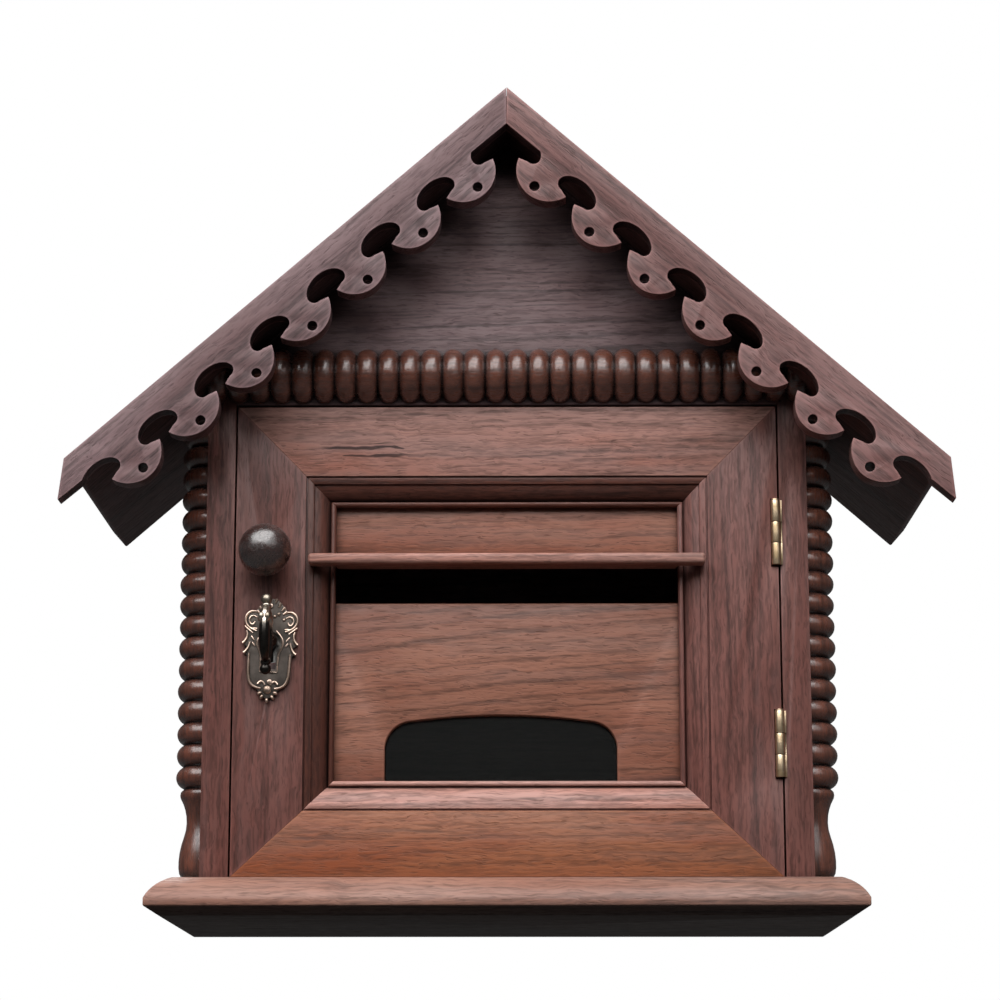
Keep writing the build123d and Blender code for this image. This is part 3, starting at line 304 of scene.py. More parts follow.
class WoodTree(Tree):
    """Stained wood with growth rings, fibres, open pores, drying checks, dirt and painted shade in the hollows,
    and edges made paler by rubbing and a painted highlight.
    """

    def __init__(self, wood: Wood) -> None:
        """Start with coordinates along the grain, whose fibres run in small waves.

        Args:
            wood: The board that is stained.
        """
        super().__init__(bpy.data.materials.new(f"{wood.timber.name}_{wood.grain.name.lower()}"))
        self.wood = wood
        straight = self.place(wood.grain.value, wood.heart)
        self.leaning = self.place(wood.lean, vector=straight)
        drift = self.times(self.sum("SUBTRACT", self.clouds(straight, 55.0, 70.0, 2.0), 0.5), 4.5 * MM)
        shift = self.add("CombineXYZ", {"Y": drift, "Z": drift})
        self.along = self.add("VectorMath", {0: straight, 1: shift}, operation="ADD").outputs[0]

    def make(self) -> Material:
        """Build the material.

        Returns:
            The material.
        """
        t = self.wood.timber
        late, fibre = self.rings(), self.fibres()
        pores = self.step(self.clouds(self.along, 120.0, 1500.0, 1.0), 0.60, 0.70)
        checks = self.step(self.clouds(self.along, 11.0, 300.0, 3.0, 0.6), t.checks, t.checks + 0.05)
        tone = self.sum("ADD", self.times(late, t.figure), self.times(fibre, 1.0 - t.figure), True)
        self.colour = self.ramp(tone, [(0.18, toned(t.body, t.light)), (0.45, t.body), (0.88, t.dark)])
        self.patches()
        self.lay(pores, 0.55, t.dark)
        self.lay(checks, 0.8, CRACK)
        self.scars()
        self.age_and_shade()
        rough = self.sum("ADD", self.times(fibre, 0.18), self.times(pores, 0.2))
        sunk = self.sum("ADD", pores, self.times(checks, 2.0))
        height = self.sum("SUBTRACT", self.times(fibre, -0.6), sunk)
        return self.surface(height, 0.35, 0.25 * MM, {
            "Roughness": self.sum("ADD", rough, t.roughness - 0.08), "Coat Weight": t.coat,
            "Coat Roughness": 0.25, "Specular IOR Level": t.gloss})

    def rings(self) -> Socket:
        """The growth rings, which run out at the surface.

        Returns:
            The share of late wood.
        """
        wander = self.clouds(self.along, 5.0, 20.0, 3.0)
        radius = self.length(self.stretch(self.leaning, (0.0, 1.0, 1.0)))
        radius = self.sum("ADD", radius, self.times(wander, 16.0 * MM))
        count = self.sum("DIVIDE", radius, self.wood.timber.ring)
        length = self.add("SeparateXYZ", {0: self.leaning}).outputs["X"]
        rings = self.add("CombineXYZ", {"X": self.times(length, 3.0), "Y": count})
        return self.step(self.clouds(rings, 1.0, 1.0, 3.0, 0.6), 0.42, 0.78)

    def fibres(self) -> Socket:
        """The fibres and the flecks between them.

        Returns:
            Their tone.
        """
        fibre = self.clouds(self.along, 30.0, 520.0, 3.0, 0.6)
        fleck = self.clouds(self.along, 120.0, 900.0, 2.0, 0.5)
        return self.step(self.sum("ADD", self.times(fibre, 0.55), self.times(fleck, 0.45)), 0.36, 0.64)

    def patches(self) -> None:
        """Lay on warm patches, worn grey bands and darker clouds."""
        t = self.wood.timber
        warm = self.step(self.clouds(self.along, 7.0, 30.0, 3.0, 0.6), 0.42, 0.62)
        self.lay(warm, t.glow_share, self.mix(0.5, self.colour, t.glow, "OVERLAY"))
        bands = self.step(self.clouds(self.along, 5.0, 95.0, 2.0, 0.6), 0.45, 0.62)
        self.lay(bands, t.bleach_share, t.bleached)
        shade = self.step(self.clouds(self.along, 4.0, 16.0, 4.0, 0.6), 0.35, 0.7)
        self.lay(shade, 0.32, t.dark)

    def scars(self) -> None:
        """Lay on the dark streaks of the drying cracks, and the painted shade round the keyhole, ragged along the
        grain.
        """
        streaks = self.clouds(self.along, 16.0, 560.0, 1.0)
        for scar in self.wood.scars:
            inside = self.place(shift=(-scar.x, 0.0, -scar.z))
            away = self.length(self.stretch(inside, (1.0 / scar.wide, 0.0, 1.0 / scar.high)))
            near = self.rest(away, True)
            share = self.step(self.sum("ADD", streaks, self.times(near, scar.dense)), 0.59, 0.66)
            self.lay(self.times(share, self.step(near, 0.0, 0.3)), 0.8, CRACK_AND_SHADE)

    def age_and_shade(self) -> None:
        """Lay dirt and painted shade into the corners and hollows, and make the edges paler, partly as a painted
        highlight.
        """
        t = self.wood.timber
        # Painted shade and dirt: ambient occlusion darkens corners, hollows, grooves and faces under overhangs.
        closed = self.rest(self.step(self.hollows(t.reach), *t.closed))
        self.lay(closed, t.grime_and_shade, GRIME_AND_SHADE)
        # Paler edges: partly worn stain, partly a painted highlight on the rounded edges.
        rubbed_and_lit = self.rest(self.step(self.hollows(2.2 * MM, True), 0.5, 0.95))
        self.lay(rubbed_and_lit, t.wear_and_highlight, toned(t.body, t.light * t.worn))


@dataclass(frozen=True)
class Metal:
    """Metal with a tarnished ground, brighter at its edges from rubbing and a painted highlight, darker in its
    hollows from dirt and painted shade, near black below a height where asked as painted shade, and fine
    scratches.
    """

    name: str
    bright: Colour
    tarnish: Colour
    roughness: float
    hollow_reach: float = 1.6 * MM
    edge_reach: float = 1.0 * MM
    clean: float = 0.35
    scratch: Pair = (90.0, 900.0)
    with_shade: Pair | None = None
    metallic: float = 1.0

    def make(self) -> Material:
        """Build the material.

        Returns:
            The material.
        """
        tree = Tree(bpy.data.materials.new(self.name))
        own = tree.place()
        stain = tree.step(tree.clouds(own, 160.0, 160.0, 4.0, 0.6), 0.35, 0.68)
        marks = tree.clouds(own, *self.scratch, 3.0, 0.6)
        open_share = tree.step(tree.hollows(self.hollow_reach), 0.35, 0.9)
        # Brighter edges: partly brass worn bright, partly a painted highlight.
        edge = tree.rest(tree.step(tree.hollows(self.edge_reach, True), 0.35, 0.9))
        share = tree.sum("ADD", tree.times(stain, self.clean), tree.times(edge, 0.75))
        share = tree.times(share, open_share, True)
        tree.colour = tree.mix(share, self.tarnish, self.bright)
        # Darker hollows: partly dirt and patina, partly painted shade.
        tree.lay(tree.rest(open_share), 0.8, DIRT_AND_SHADE)
        # Painted shade: where asked, the metal turns near black below a height, for the key's shaded lower bow.
        if self.with_shade:
            height = tree.add("SeparateXYZ", {0: own}).outputs["Z"]
            ragged = tree.sum("ADD", height, tree.times(stain, 1.2 * MM))
            tree.lay(tree.rest(tree.step(ragged, *self.with_shade)), 0.93, SHADE_BLACK)
        rough = tree.sum("ADD", tree.times(marks, 0.25), self.roughness - 0.1)
        rough = tree.sum("SUBTRACT", rough, tree.times(share, 0.12))
        return tree.surface(tree.sum("ADD", marks, stain), 0.25, 0.08 * MM, {
            "Metallic": self.metallic, "Roughness": rough})


@dataclass(frozen=True)
class Glass:
    """Old window glass with a green tint and a little dust."""

    name: str = "window_glass"
    tint: Colour = (0.17, 0.18, 0.17)

    def make(self) -> Material:
        """Build the material.

        Returns:
            The material.
        """
        tree = Tree(bpy.data.materials.new(self.name))
        tree.colour = self.tint
        own = tree.place()
        dust = tree.step(tree.clouds(own, 220.0, 220.0, 5.0, 0.65), 0.45, 0.75)
        waves = tree.clouds(tree.stretch(own, (18.0, 18.0, 30.0)), 1.0, 1.0, 1.0)
        return tree.surface(waves, 0.1, 0.4 * MM, {
            "Roughness": tree.times(dust, 0.12), "IOR": 1.5, "Transmission Weight": 1.0})


class Finishes:
    """Every finish, made once."""

    def __init__(self) -> None:
        """Start with no woods, and make the metals and the glass."""
        self._woods: dict[Wood, Material] = {}
        self.cast_ground = Metal("cast_ground", (0.24, 0.2, 0.17), (0.1, 0.083, 0.072), 0.5,
                                 hollow_reach=3.0 * MM, metallic=0.7).make()
        self.cast_relief = Metal("cast_relief", (0.76, 0.57, 0.46), (0.34, 0.25, 0.19), 0.4, clean=0.7).make()
        # The key turns near black below about 140 mm: painted shade on the lower half of its bow.
        self.key_bronze = Metal("key_bronze", (0.74, 0.65, 0.56), (0.26, 0.22, 0.17), 0.34,
                                hollow_reach=4.0 * MM, clean=0.6, with_shade=(140.0 * MM, 143.5 * MM)).make()
        # The hinge's wide hollow reach darkens the leaf edge beside the knuckles: painted shade in the gap.
        self.hinge_brass = Metal("hinge_brass", (0.9, 0.7, 0.48), (0.5, 0.36, 0.21), 0.42,
                                 hollow_reach=3.0 * MM, clean=0.9).make()
        self.steel = Metal("lock_steel", (0.56, 0.55, 0.53), (0.24, 0.225, 0.205), 0.42, clean=0.7).make()
        self.glass = Glass().make()

    def wood(self, timber: Timber, grain: Grain, **cut: Any) -> Material:
        """A wood by its timber and grain, made when it is first asked for.

        Args:
            timber: The kind of wood.
            grain: Which way its grain runs.
            cut: The log's heart and lean where they differ from the usual ones, and its dark patches.

        Returns:
            The material.
        """
        wanted = Wood(timber, grain, **cut)
        if wanted not in self._woods:
            self._woods[wanted] = WoodTree(wanted).make()
        return self._woods[wanted]


class Piece:
    """A mesh on the bench, shaped and then set down as a finished piece."""

    def __init__(self, name: str) -> None:
        """Start an empty mesh under a name."""
        self.name = name
        self.bm = bmesh.new()

    @classmethod
    def copy_of(cls, node: str) -> "Piece":
        """A piece with the shape of a node of the frame, its doubles merged and its flats whole.

        Args:
            node: The node's name.

        Returns:
            The new piece.
        """
        piece = cls(node + "_dressed")
        piece.bm.from_mesh(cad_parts[node].data)
        bmesh.ops.remove_doubles(piece.bm, verts=piece.bm.verts, dist=0.002 * MM)
        bmesh.ops.dissolve_limit(piece.bm, angle_limit=math.radians(0.3), verts=piece.bm.verts,
                                 edges=piece.bm.edges)
        return piece

    def ease(self, width: float, segments: int = 2, angle: float = 35.0) -> None:
        """Round every sharp edge.

        Args:
            width: The width of the rounding.
            segments: How many steps it has.
            angle: The least angle of an edge that is rounded, in degrees.
        """
        limit = math.radians(angle)
        sharp = [e for e in self.bm.edges if len(e.link_faces) == 2 and e.calc_face_angle() > limit]
        bmesh.ops.bevel(self.bm, geom=sharp, offset=width, offset_type="OFFSET", segments=segments, profile=0.5,
                        affect="EDGES", clamp_overlap=True, material=-1)

    def wander(self, reach: float, wave: float, row: float) -> None:
        """Move the outline a little in X and Z, as a hand-held saw does, and never past its outer points.

        Args:
            reach: The most that a point moves.
            wave: The length of the wander.
            row: Which of many wanders it is.
        """
        noise.seed_set(NOISE_SEED)  # Without this the clock seeds it, and no two runs agree.
        places = [vert.co.copy() for vert in self.bm.verts]
        bounds = {axis: (min(place[axis] for place in places), max(place[axis] for place in places))
                  for axis in (0, 2)}
        for vert in self.bm.verts:
            drift = noise.noise_vector(Vector((vert.co.x / wave, row, vert.co.z / wave)))
            for axis, (low, high) in bounds.items():
                vert.co[axis] = min(max(vert.co[axis] + drift[axis] * reach, low), high)

    def lathe(self, profile: Sequence[Pair], origin: Point, axis: Point, steps: int = 32) -> None:
        """Turn a profile about an axis.

        Args:
            profile: Places along the axis, each with its radius.
            origin: Where the axis starts.
            axis: Which way it runs.
            steps: How many sides the turning has.
        """
        start, line = Vector(origin), Vector(axis).normalized()
        side = line.orthogonal().normalized()
        chain = [self.bm.verts.new(start + line * height + side * radius) for height, radius in profile]
        edges = [self.bm.edges.new(pair) for pair in zip(chain, chain[1:])]
        bmesh.ops.spin(self.bm, geom=chain + edges, cent=start, axis=line, angle=math.tau, steps=steps,
                       use_merge=True, use_duplicate=False)
        bmesh.ops.remove_doubles(self.bm, verts=self.bm.verts, dist=0.003 * MM)
        bmesh.ops.recalc_face_normals(self.bm, faces=self.bm.faces)

    def keep_side(self, point: Point, outward: Point) -> None:
        """Saw the piece flat and keep what lies behind the cut.

        Args:
            point: A point on the cut.
            outward: The way that the sawn-off part lies.
        """
        geom = self.bm.verts[:] + self.bm.edges[:] + self.bm.faces[:]
        cut = bmesh.ops.bisect_plane(self.bm, geom=geom, dist=0.001 * MM, plane_co=Vector(point),
                                     plane_no=Vector(outward), clear_outer=True)
        rim = [e for e in cut["geom_cut"] if isinstance(e, bmesh.types.BMEdge)]
        bmesh.ops.holes_fill(self.bm, edges=rim, sides=0)

    def strand(self, points: Sequence[Point], radii: Sequence[float], closed: bool = False) -> None:
        """Add a round strand along a smooth line.

        Args:
            points: The points that the line follows.
            radii: The strand's radius at each point.
            closed: Whether it runs round to its start.
        """
        data = bpy.data.curves.new("strand", "CURVE")
        data.dimensions = "3D"
        data.bevel_depth = 1.0
        data.bevel_resolution = 3
        data.resolution_u = 5
        data.use_fill_caps = not closed
        line = data.splines.new("NURBS")
        line.points.add(len(points) - 1)
        for knot, place, radius in zip(line.points, points, radii):
            knot.co = (*place, 1.0)
            knot.radius = radius
        line.order_u = 3
        line.use_endpoint_u = not closed
        line.use_cyclic_u = closed
        holder = bpy.data.objects.new("strand", data)
        mesh = bpy.data.meshes.new_from_object(holder)
        bpy.data.objects.remove(holder)
        bpy.data.curves.remove(data)
        self.bm.from_mesh(mesh)
        bpy.data.meshes.remove(mesh)

    def pearl(self, centre: Point, reach: Point, turn: float = 0.0) -> None:
        """Add a rounded lump.

        Args:
            centre: Its middle.
            reach: How far it reaches along each axis.
            turn: How far it is turned in the X and Z plane, in degrees.
        """
        place = Matrix.Translation(centre) @ Matrix.Rotation(-math.radians(turn), 4, "Y")
        bmesh.ops.create_uvsphere(self.bm, u_segments=16, v_segments=10, radius=1.0,
                                  matrix=place @ Matrix.Diagonal((*reach, 1.0)))

    def slot_heads(self, outward: Point) -> None:
        """Cut a driver's slot in every round head that faces one way.

        Args:
            outward: The way that the heads face.
        """
        way = Vector(outward)
        across = Vector((0.0, 0.0, 1.0))
        heads = [f.calc_center_median() for f in self.bm.faces if f.normal.dot(way) > 0.99 and len(f.verts) > 8]
        for middle in heads:
            for side, half in ((way.cross(across), SLOT_LENGTH / 2), (across, SLOT_WIDTH / 2)):
                for sign in (-1.0, 1.0):
                    flats = self.flats(middle, way)
                    geom = flats + list({part for f in flats for part in [*f.verts, *f.edges]})
                    bmesh.ops.bisect_plane(self.bm, geom=geom, dist=0.001 * MM,
                                           plane_co=middle + side * half * sign, plane_no=side)
            floor = min(self.flats(middle, way), key=lambda f: (f.calc_center_median() - middle).length)
            sunk = bmesh.ops.extrude_discrete_faces(self.bm, faces=[floor])["faces"][0]
            bmesh.ops.translate(self.bm, verts=list(sunk.verts), vec=-way * SLOT_DEPTH)

    def flats(self, middle: Vector, way: Vector) -> list[bmesh.types.BMFace]:
        """The faces of one head, near its middle, that face one way."""
        return [f for f in self.bm.faces
                if f.normal.dot(way) > 0.99 and (f.calc_center_median() - middle).length < SLOT_LENGTH]

    def plain(self, material: Material) -> bpy.types.Object:
        """Set the mesh down as a flat-shaded object.

        Args:
            material: Its finish.

        Returns:
            The new object.
        """
        mesh = bpy.data.meshes.new(self.name)
        self.bm.to_mesh(mesh)
        self.bm.free()
        mesh.materials.append(material)
        made = bpy.data.objects.new(self.name, mesh)
        bpy.context.scene.collection.objects.link(made)
        return made

    def done(self, material: Material, body: str, slot: str, replaces: Iterable[str] = (),
             smooth: float = 35.0) -> None:
        """Set the piece down in the scene.

        Args:
            material: Its finish.
            body: The body that it moves with.
            slot: The record's name for its finish; not used.
            replaces: The nodes of the frame that it stands for.
            smooth: Edges sharper than this stay crisp, in degrees.
        """
        made = self.plain(material)
        mesh = made.data
        mesh.polygons.foreach_set("use_smooth", [True] * len(mesh.polygons))
        mesh.set_sharp_from_angle(angle=math.radians(smooth))
        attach(made, body)
        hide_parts(*replaces)
        log.info("%s: %d faces", self.name, len(mesh.polygons))


def dress(node: str, material: Material) -> None:
    """Give a node of the frame a finish in place of its plain one.

    Args:
        node: The node's name.
        material: Its finish.
    """
    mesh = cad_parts[node].data
    mesh.materials.clear()
    mesh.materials.append(material)
    log.info("%s dressed", node)


def eased(node: str, width: float, material: Material, body: str, slot: str, segments: int = 2) -> None:
    """Round the edges of a node of the frame, as a piece of its own.

    Args:
        node: The node's name.
        width: The width of the rounding.
        material: Its finish.
        body: The body that it moves with.
        slot: The record's name for its finish.
        segments: How many steps the rounding has.
    """
    piece = Piece.copy_of(node)
    piece.ease(width, segments)
    piece.done(material, body, slot, [node])


def slotted(node: str, outward: Point, material: Material, body: str, slot: str) -> None:
    """Cut driver's slots in a node's countersunk screws, as a piece of its own.

    Args:
        node: The node's name.
        outward: The way that the heads face.
        material: Their finish.
        body: The body that they move with.
        slot: The record's name for their finish.
    """
    piece = Piece.copy_of(node)
    piece.slot_heads(outward)
    piece.done(material, body, slot, [node])


@dataclass
class Carcass:
    """The base, the two walls, the back and the gable."""

    finishes: Finishes
    board_edge: float = 0.7 * MM
    base_edge: float = 0.5 * MM

    def build(self) -> None:
        """Round the boards' edges and stain them."""
        plain = self.finishes.wood(PLAIN, Grain.UPRIGHT)
        for side in ("left", "right"):
            eased(f"side_wall_{side}", self.board_edge, plain, "case", "wood_plain")
        eased("base_board", self.base_edge, self.finishes.wood(PALE, Grain.ACROSS), "case", "wood_plain", 3)
        weathered = self.finishes.wood(WEATHERED, Grain.ACROSS)
        eased("gable_panel", self.board_edge, weathered, "case", "wood_plain")
        eased("back_panel", self.board_edge, weathered, "case", "wood_plain")


@dataclass
class Roof:
    """The two roof boards and the fretted bargeboards in front of them."""

    finishes: Finishes
    board_edge: float = 0.8 * MM
    fret_edge: float = 0.9 * MM
    saw_wander: float = 0.7 * MM
    saw_wave: float = 26.0 * MM

    def build(self) -> None:
        """Round the boards' edges, let the saw wander and stain them."""
        slopes = {"left": (WEATHERED, Grain.LEFT_SLOPE), "right": (RUSSET, Grain.RIGHT_SLOPE)}
        for row, (side, (timber, grain)) in enumerate(slopes.items()):
            wood = self.finishes.wood(timber, grain)
            eased(f"roof_board_{side}", self.board_edge, wood, "case", "wood_plain")
            node = f"bargeboard_{side}"
            board = Piece.copy_of(node)
            board.wander(self.saw_wander, self.saw_wave, float(row))
            board.ease(self.fret_edge, 3)
            board.done(wood, "case", "wood_plain", [node])


@dataclass
class Turnings:
    """The bobbin-turned rod over the door and the half columns beside the walls."""

    finishes: Finishes
    radius: float = 14.3 * MM
    groove: float = 3.6 * MM
    pitch: float = 10.9 * MM
    uneven: float = 0.3 * MM
    sides: int = 40
    roof_pitch: float = math.radians(41.4)
    foot_height: float = 46.0 * MM
    vase: Pairs = (
        (0.0, 0.0), (0.0, 8.8), (1.6, 10.4), (3.8, 11.6), (6.5, 12.0), (10.0, 12.0), (14.0, 11.6), (18.0, 10.8),
        (22.0, 9.6), (25.5, 8.7), (29.0, 8.4), (32.5, 8.6), (35.8, 9.3), (38.4, 10.2), (40.4, 11.2), (41.2, 11.6),
        (42.6, 11.9), (44.2, 11.6), (45.0, 10.9), (45.8, 10.0))

    def beads(self, start: float, count: int, seed: int) -> list[Pair]:
        """The outline of a row of beads.

        Args:
            start: Where the row starts, along the axis.
            count: How many beads it has.
            seed: Which of many uneven rows it is.

        Returns:
            Places along the axis, each with its radius.
        """
        chance = random.Random(seed)
        outline = []
        for i in range(count):
            low = start + i * self.pitch
            crown = self.radius - chance.uniform(0.0, self.uneven)
            depth = self.groove + chance.uniform(-self.uneven, self.uneven)
            for step in range(10):
                turn = math.pi * step / 10
                height = low + self.pitch * ((1 - math.cos(turn)) / 4 + step / 20)
                outline.append((height, crown - depth * (1 - math.sin(turn))))
        return outline

    def foot(self, low: float) -> list[Pair]:
        """The vase-shaped foot of a column, from the base board up to its first bead."""
        return [(low + height * MM, radius * MM) for height, radius in self.vase]

    def under_roof(self, piece: Piece, side: float) -> None:
        """Saw a turning off under one slope of the roof."""
        ridge = (0.0, 0.0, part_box("gable_panel")[1].z)
        piece.keep_side(ridge, (side * math.sin(self.roof_pitch), 0.0, math.cos(self.roof_pitch)))

    def rod(self) -> None:
        """The half rod over the door."""
        low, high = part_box("gable_rod")
        middle = (low.z + high.z) / 2
        count = 2 * math.ceil(high.x / self.pitch)
        reach = count * self.pitch / 2
        profile = [(0.0, 0.0)] + self.beads(0.0, count, 3) + [(2 * reach, 0.0)]
        piece = Piece("gable_rod_turned")
        piece.lathe(profile, (-reach, high.y, middle), (1.0, 0.0, 0.0), self.sides)
        piece.keep_side((0.0, high.y, 0.0), (0.0, 1.0, 0.0))
        for side in (-1.0, 1.0):
            piece.keep_side((side * high.x, high.y, 0.0), (side, 0.0, 0.0))
            self.under_roof(piece, side)
        piece.done(self.finishes.wood(TURNED, Grain.ACROSS), "case", "wood_turned", ["gable_rod"], 50.0)

    def column(self, side: str) -> None:
        """The half column on one wall.

        Args:
            side: Which wall it is, left or right.
        """
        low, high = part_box(f"column_{side}")
        sign = 1.0 if side == "right" else -1.0
        wall = low.x if side == "right" else high.x
        middle = (low.y + high.y) / 2
        start = low.z + self.foot_height
        count = math.ceil((high.z - start) / self.pitch)
        profile = self.foot(low.z) + self.beads(start, count, 11 if side == "right" else 17)
        profile.append((start + count * self.pitch, 0.0))
        piece = Piece(f"column_{side}_turned")
        piece.lathe(profile, (wall, middle, 0.0), (0.0, 0.0, 1.0), self.sides)
        piece.keep_side((wall, 0.0, 0.0), (-sign, 0.0, 0.0))
        self.under_roof(piece, sign)
        piece.done(self.finishes.wood(TURNED, Grain.UPRIGHT), "case", "wood_turned", [f"column_{side}"], 50.0)

    def build(self) -> None:
        """Turn the rod and both columns."""
        self.rod()
        self.column("left")
        self.column("right")


@dataclass
class Door:
    """The mitred frame with its mouldings, panels, hood and window."""

    finishes: Finishes
    frame_edge: float = 0.35 * MM
    moulding_edge: float = 0.25 * MM
    panel_edge: float = 0.7 * MM
    hood_edge: float = 1.8 * MM
    top_scar: DarkPatch = DarkPatch(-71.0 * MM, 235.0 * MM, 26.0 * MM, 6.0 * MM)
    bottom_scar: DarkPatch = DarkPatch(-50.0 * MM, 35.6 * MM, 15.0 * MM, 2.4 * MM)
    keyhole_shade: DarkPatch = DarkPatch(-118.0 * MM, 132.0 * MM, 8.0 * MM, 13.0 * MM, 2.0)

    def build(self) -> None:
        """Round the members' edges and stain them."""
        stain = self.finishes.wood
        # A dense dark patch round the keyhole on the left stile: painted shade beside the plate.
        with_shade = stain(PLAIN, Grain.UPRIGHT, scars=(self.keyhole_shade,))
        eased("door_stile_left", self.frame_edge, with_shade, "door", "wood_plain")
        eased("door_stile_right", self.frame_edge, stain(PLAIN, Grain.UPRIGHT), "door", "wood_plain")
        for end, timber, scar in (("top", ROSE, self.top_scar), ("bottom", ORANGE, self.bottom_scar)):
            wood = stain(timber, Grain.ACROSS, scars=(scar,))
            eased(f"door_rail_{end}", self.frame_edge, wood, "door", "wood_warm")
        # Painted light and shade: the left and top mouldings take the dark stain, the right one the plain stain
        # and the bottom one the pale rose stain, by which way each faces the light.
        mouldings = {"left": (SHADED, Grain.UPRIGHT), "right": (PLAIN, Grain.UPRIGHT),
                     "top": (SHADED, Grain.ACROSS), "bottom": (ROSE, Grain.ACROSS)}
        for side, cut in mouldings.items():
            eased(f"moulding_{side}", self.moulding_edge, stain(*cut), "door", "wood_warm")
        eased("door_panel_upper", self.panel_edge, stain(WARM, Grain.ACROSS), "door", "wood_warm")
        cathedral = stain(WARM, Grain.ACROSS, heart=(0.0, 0.042, -0.085), lean=(0.0, 0.09, 0.05))
        eased("door_panel_lower", self.panel_edge, cathedral, "door", "wood_warm")
        # The hood takes the pale rose stain, partly as a painted highlight.
        eased("slot_hood", self.hood_edge, stain(ROSE, Grain.ACROSS), "door", "wood_warm", 4)
        dress("window_pane", self.finishes.glass)


@dataclass
class Knob:
    """The turned knob and the screw that holds it."""

    finishes: Finishes
    ball: float = 13.2 * MM
    flange: float = 7.6 * MM
    neck: float = 5.6 * MM

    def build(self) -> None:
        """Turn the knob."""
        low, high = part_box("knob")
        length = high.y - low.y
        centre = length - self.ball
        join = math.asin(self.neck * 1.15 / self.ball)
        profile = [(0.0, 0.0), (0.0, self.flange), (1.6 * MM, self.flange), (2.2 * MM, self.flange - 0.5 * MM),
                   (2.6 * MM, self.neck), (3.2 * MM, self.neck)]
        steps = 22
        for i in range(steps):
            turn = join + (math.pi - join) * i / steps
            profile.append((centre - self.ball * math.cos(turn), self.ball * math.sin(turn)))
        profile.append((length, 0.0))
        place = ((low.x + high.x) / 2, high.y, (low.z + high.z) / 2)
        piece = Piece("knob_turned")
        piece.lathe(profile, place, (0.0, -1.0, 0.0), 56)
        piece.done(self.finishes.wood(POLISHED, Grain.DEEP), "door", "wood_knob", ["knob"], 40.0)
        dress("knob_screw", self.finishes.steel)


@dataclass
class Lock:
    """The mortise lock, its strike plate and their screws."""

    finishes: Finishes
    plate_edge: float = 0.2 * MM

    def build(self) -> None:
        """Round the plates' edges and finish the lock."""
        steel = self.finishes.steel
        plates = {"lock_faceplate": "door", "lock_case": "door", "lock_cover": "door", "strike_plate": "case",
                  "lock_bolt": "bolt", "lock_cam": "cam"}
        for node, body in plates.items():
            eased(node, self.plate_edge, steel, body, "lock_steel")
        slotted("lock_screws", (-1.0, 0.0, 0.0), steel, "door", "lock_steel")
        slotted("strike_screws", (1.0, 0.0, 0.0), steel, "case", "lock_steel")


@dataclass(frozen=True)
class Strand:
    """A raised strand of the cast plate, in millimetres right of the keyhole and above it."""

    points: Pairs
    radius: float = 0.6
    tip: float = 0.7


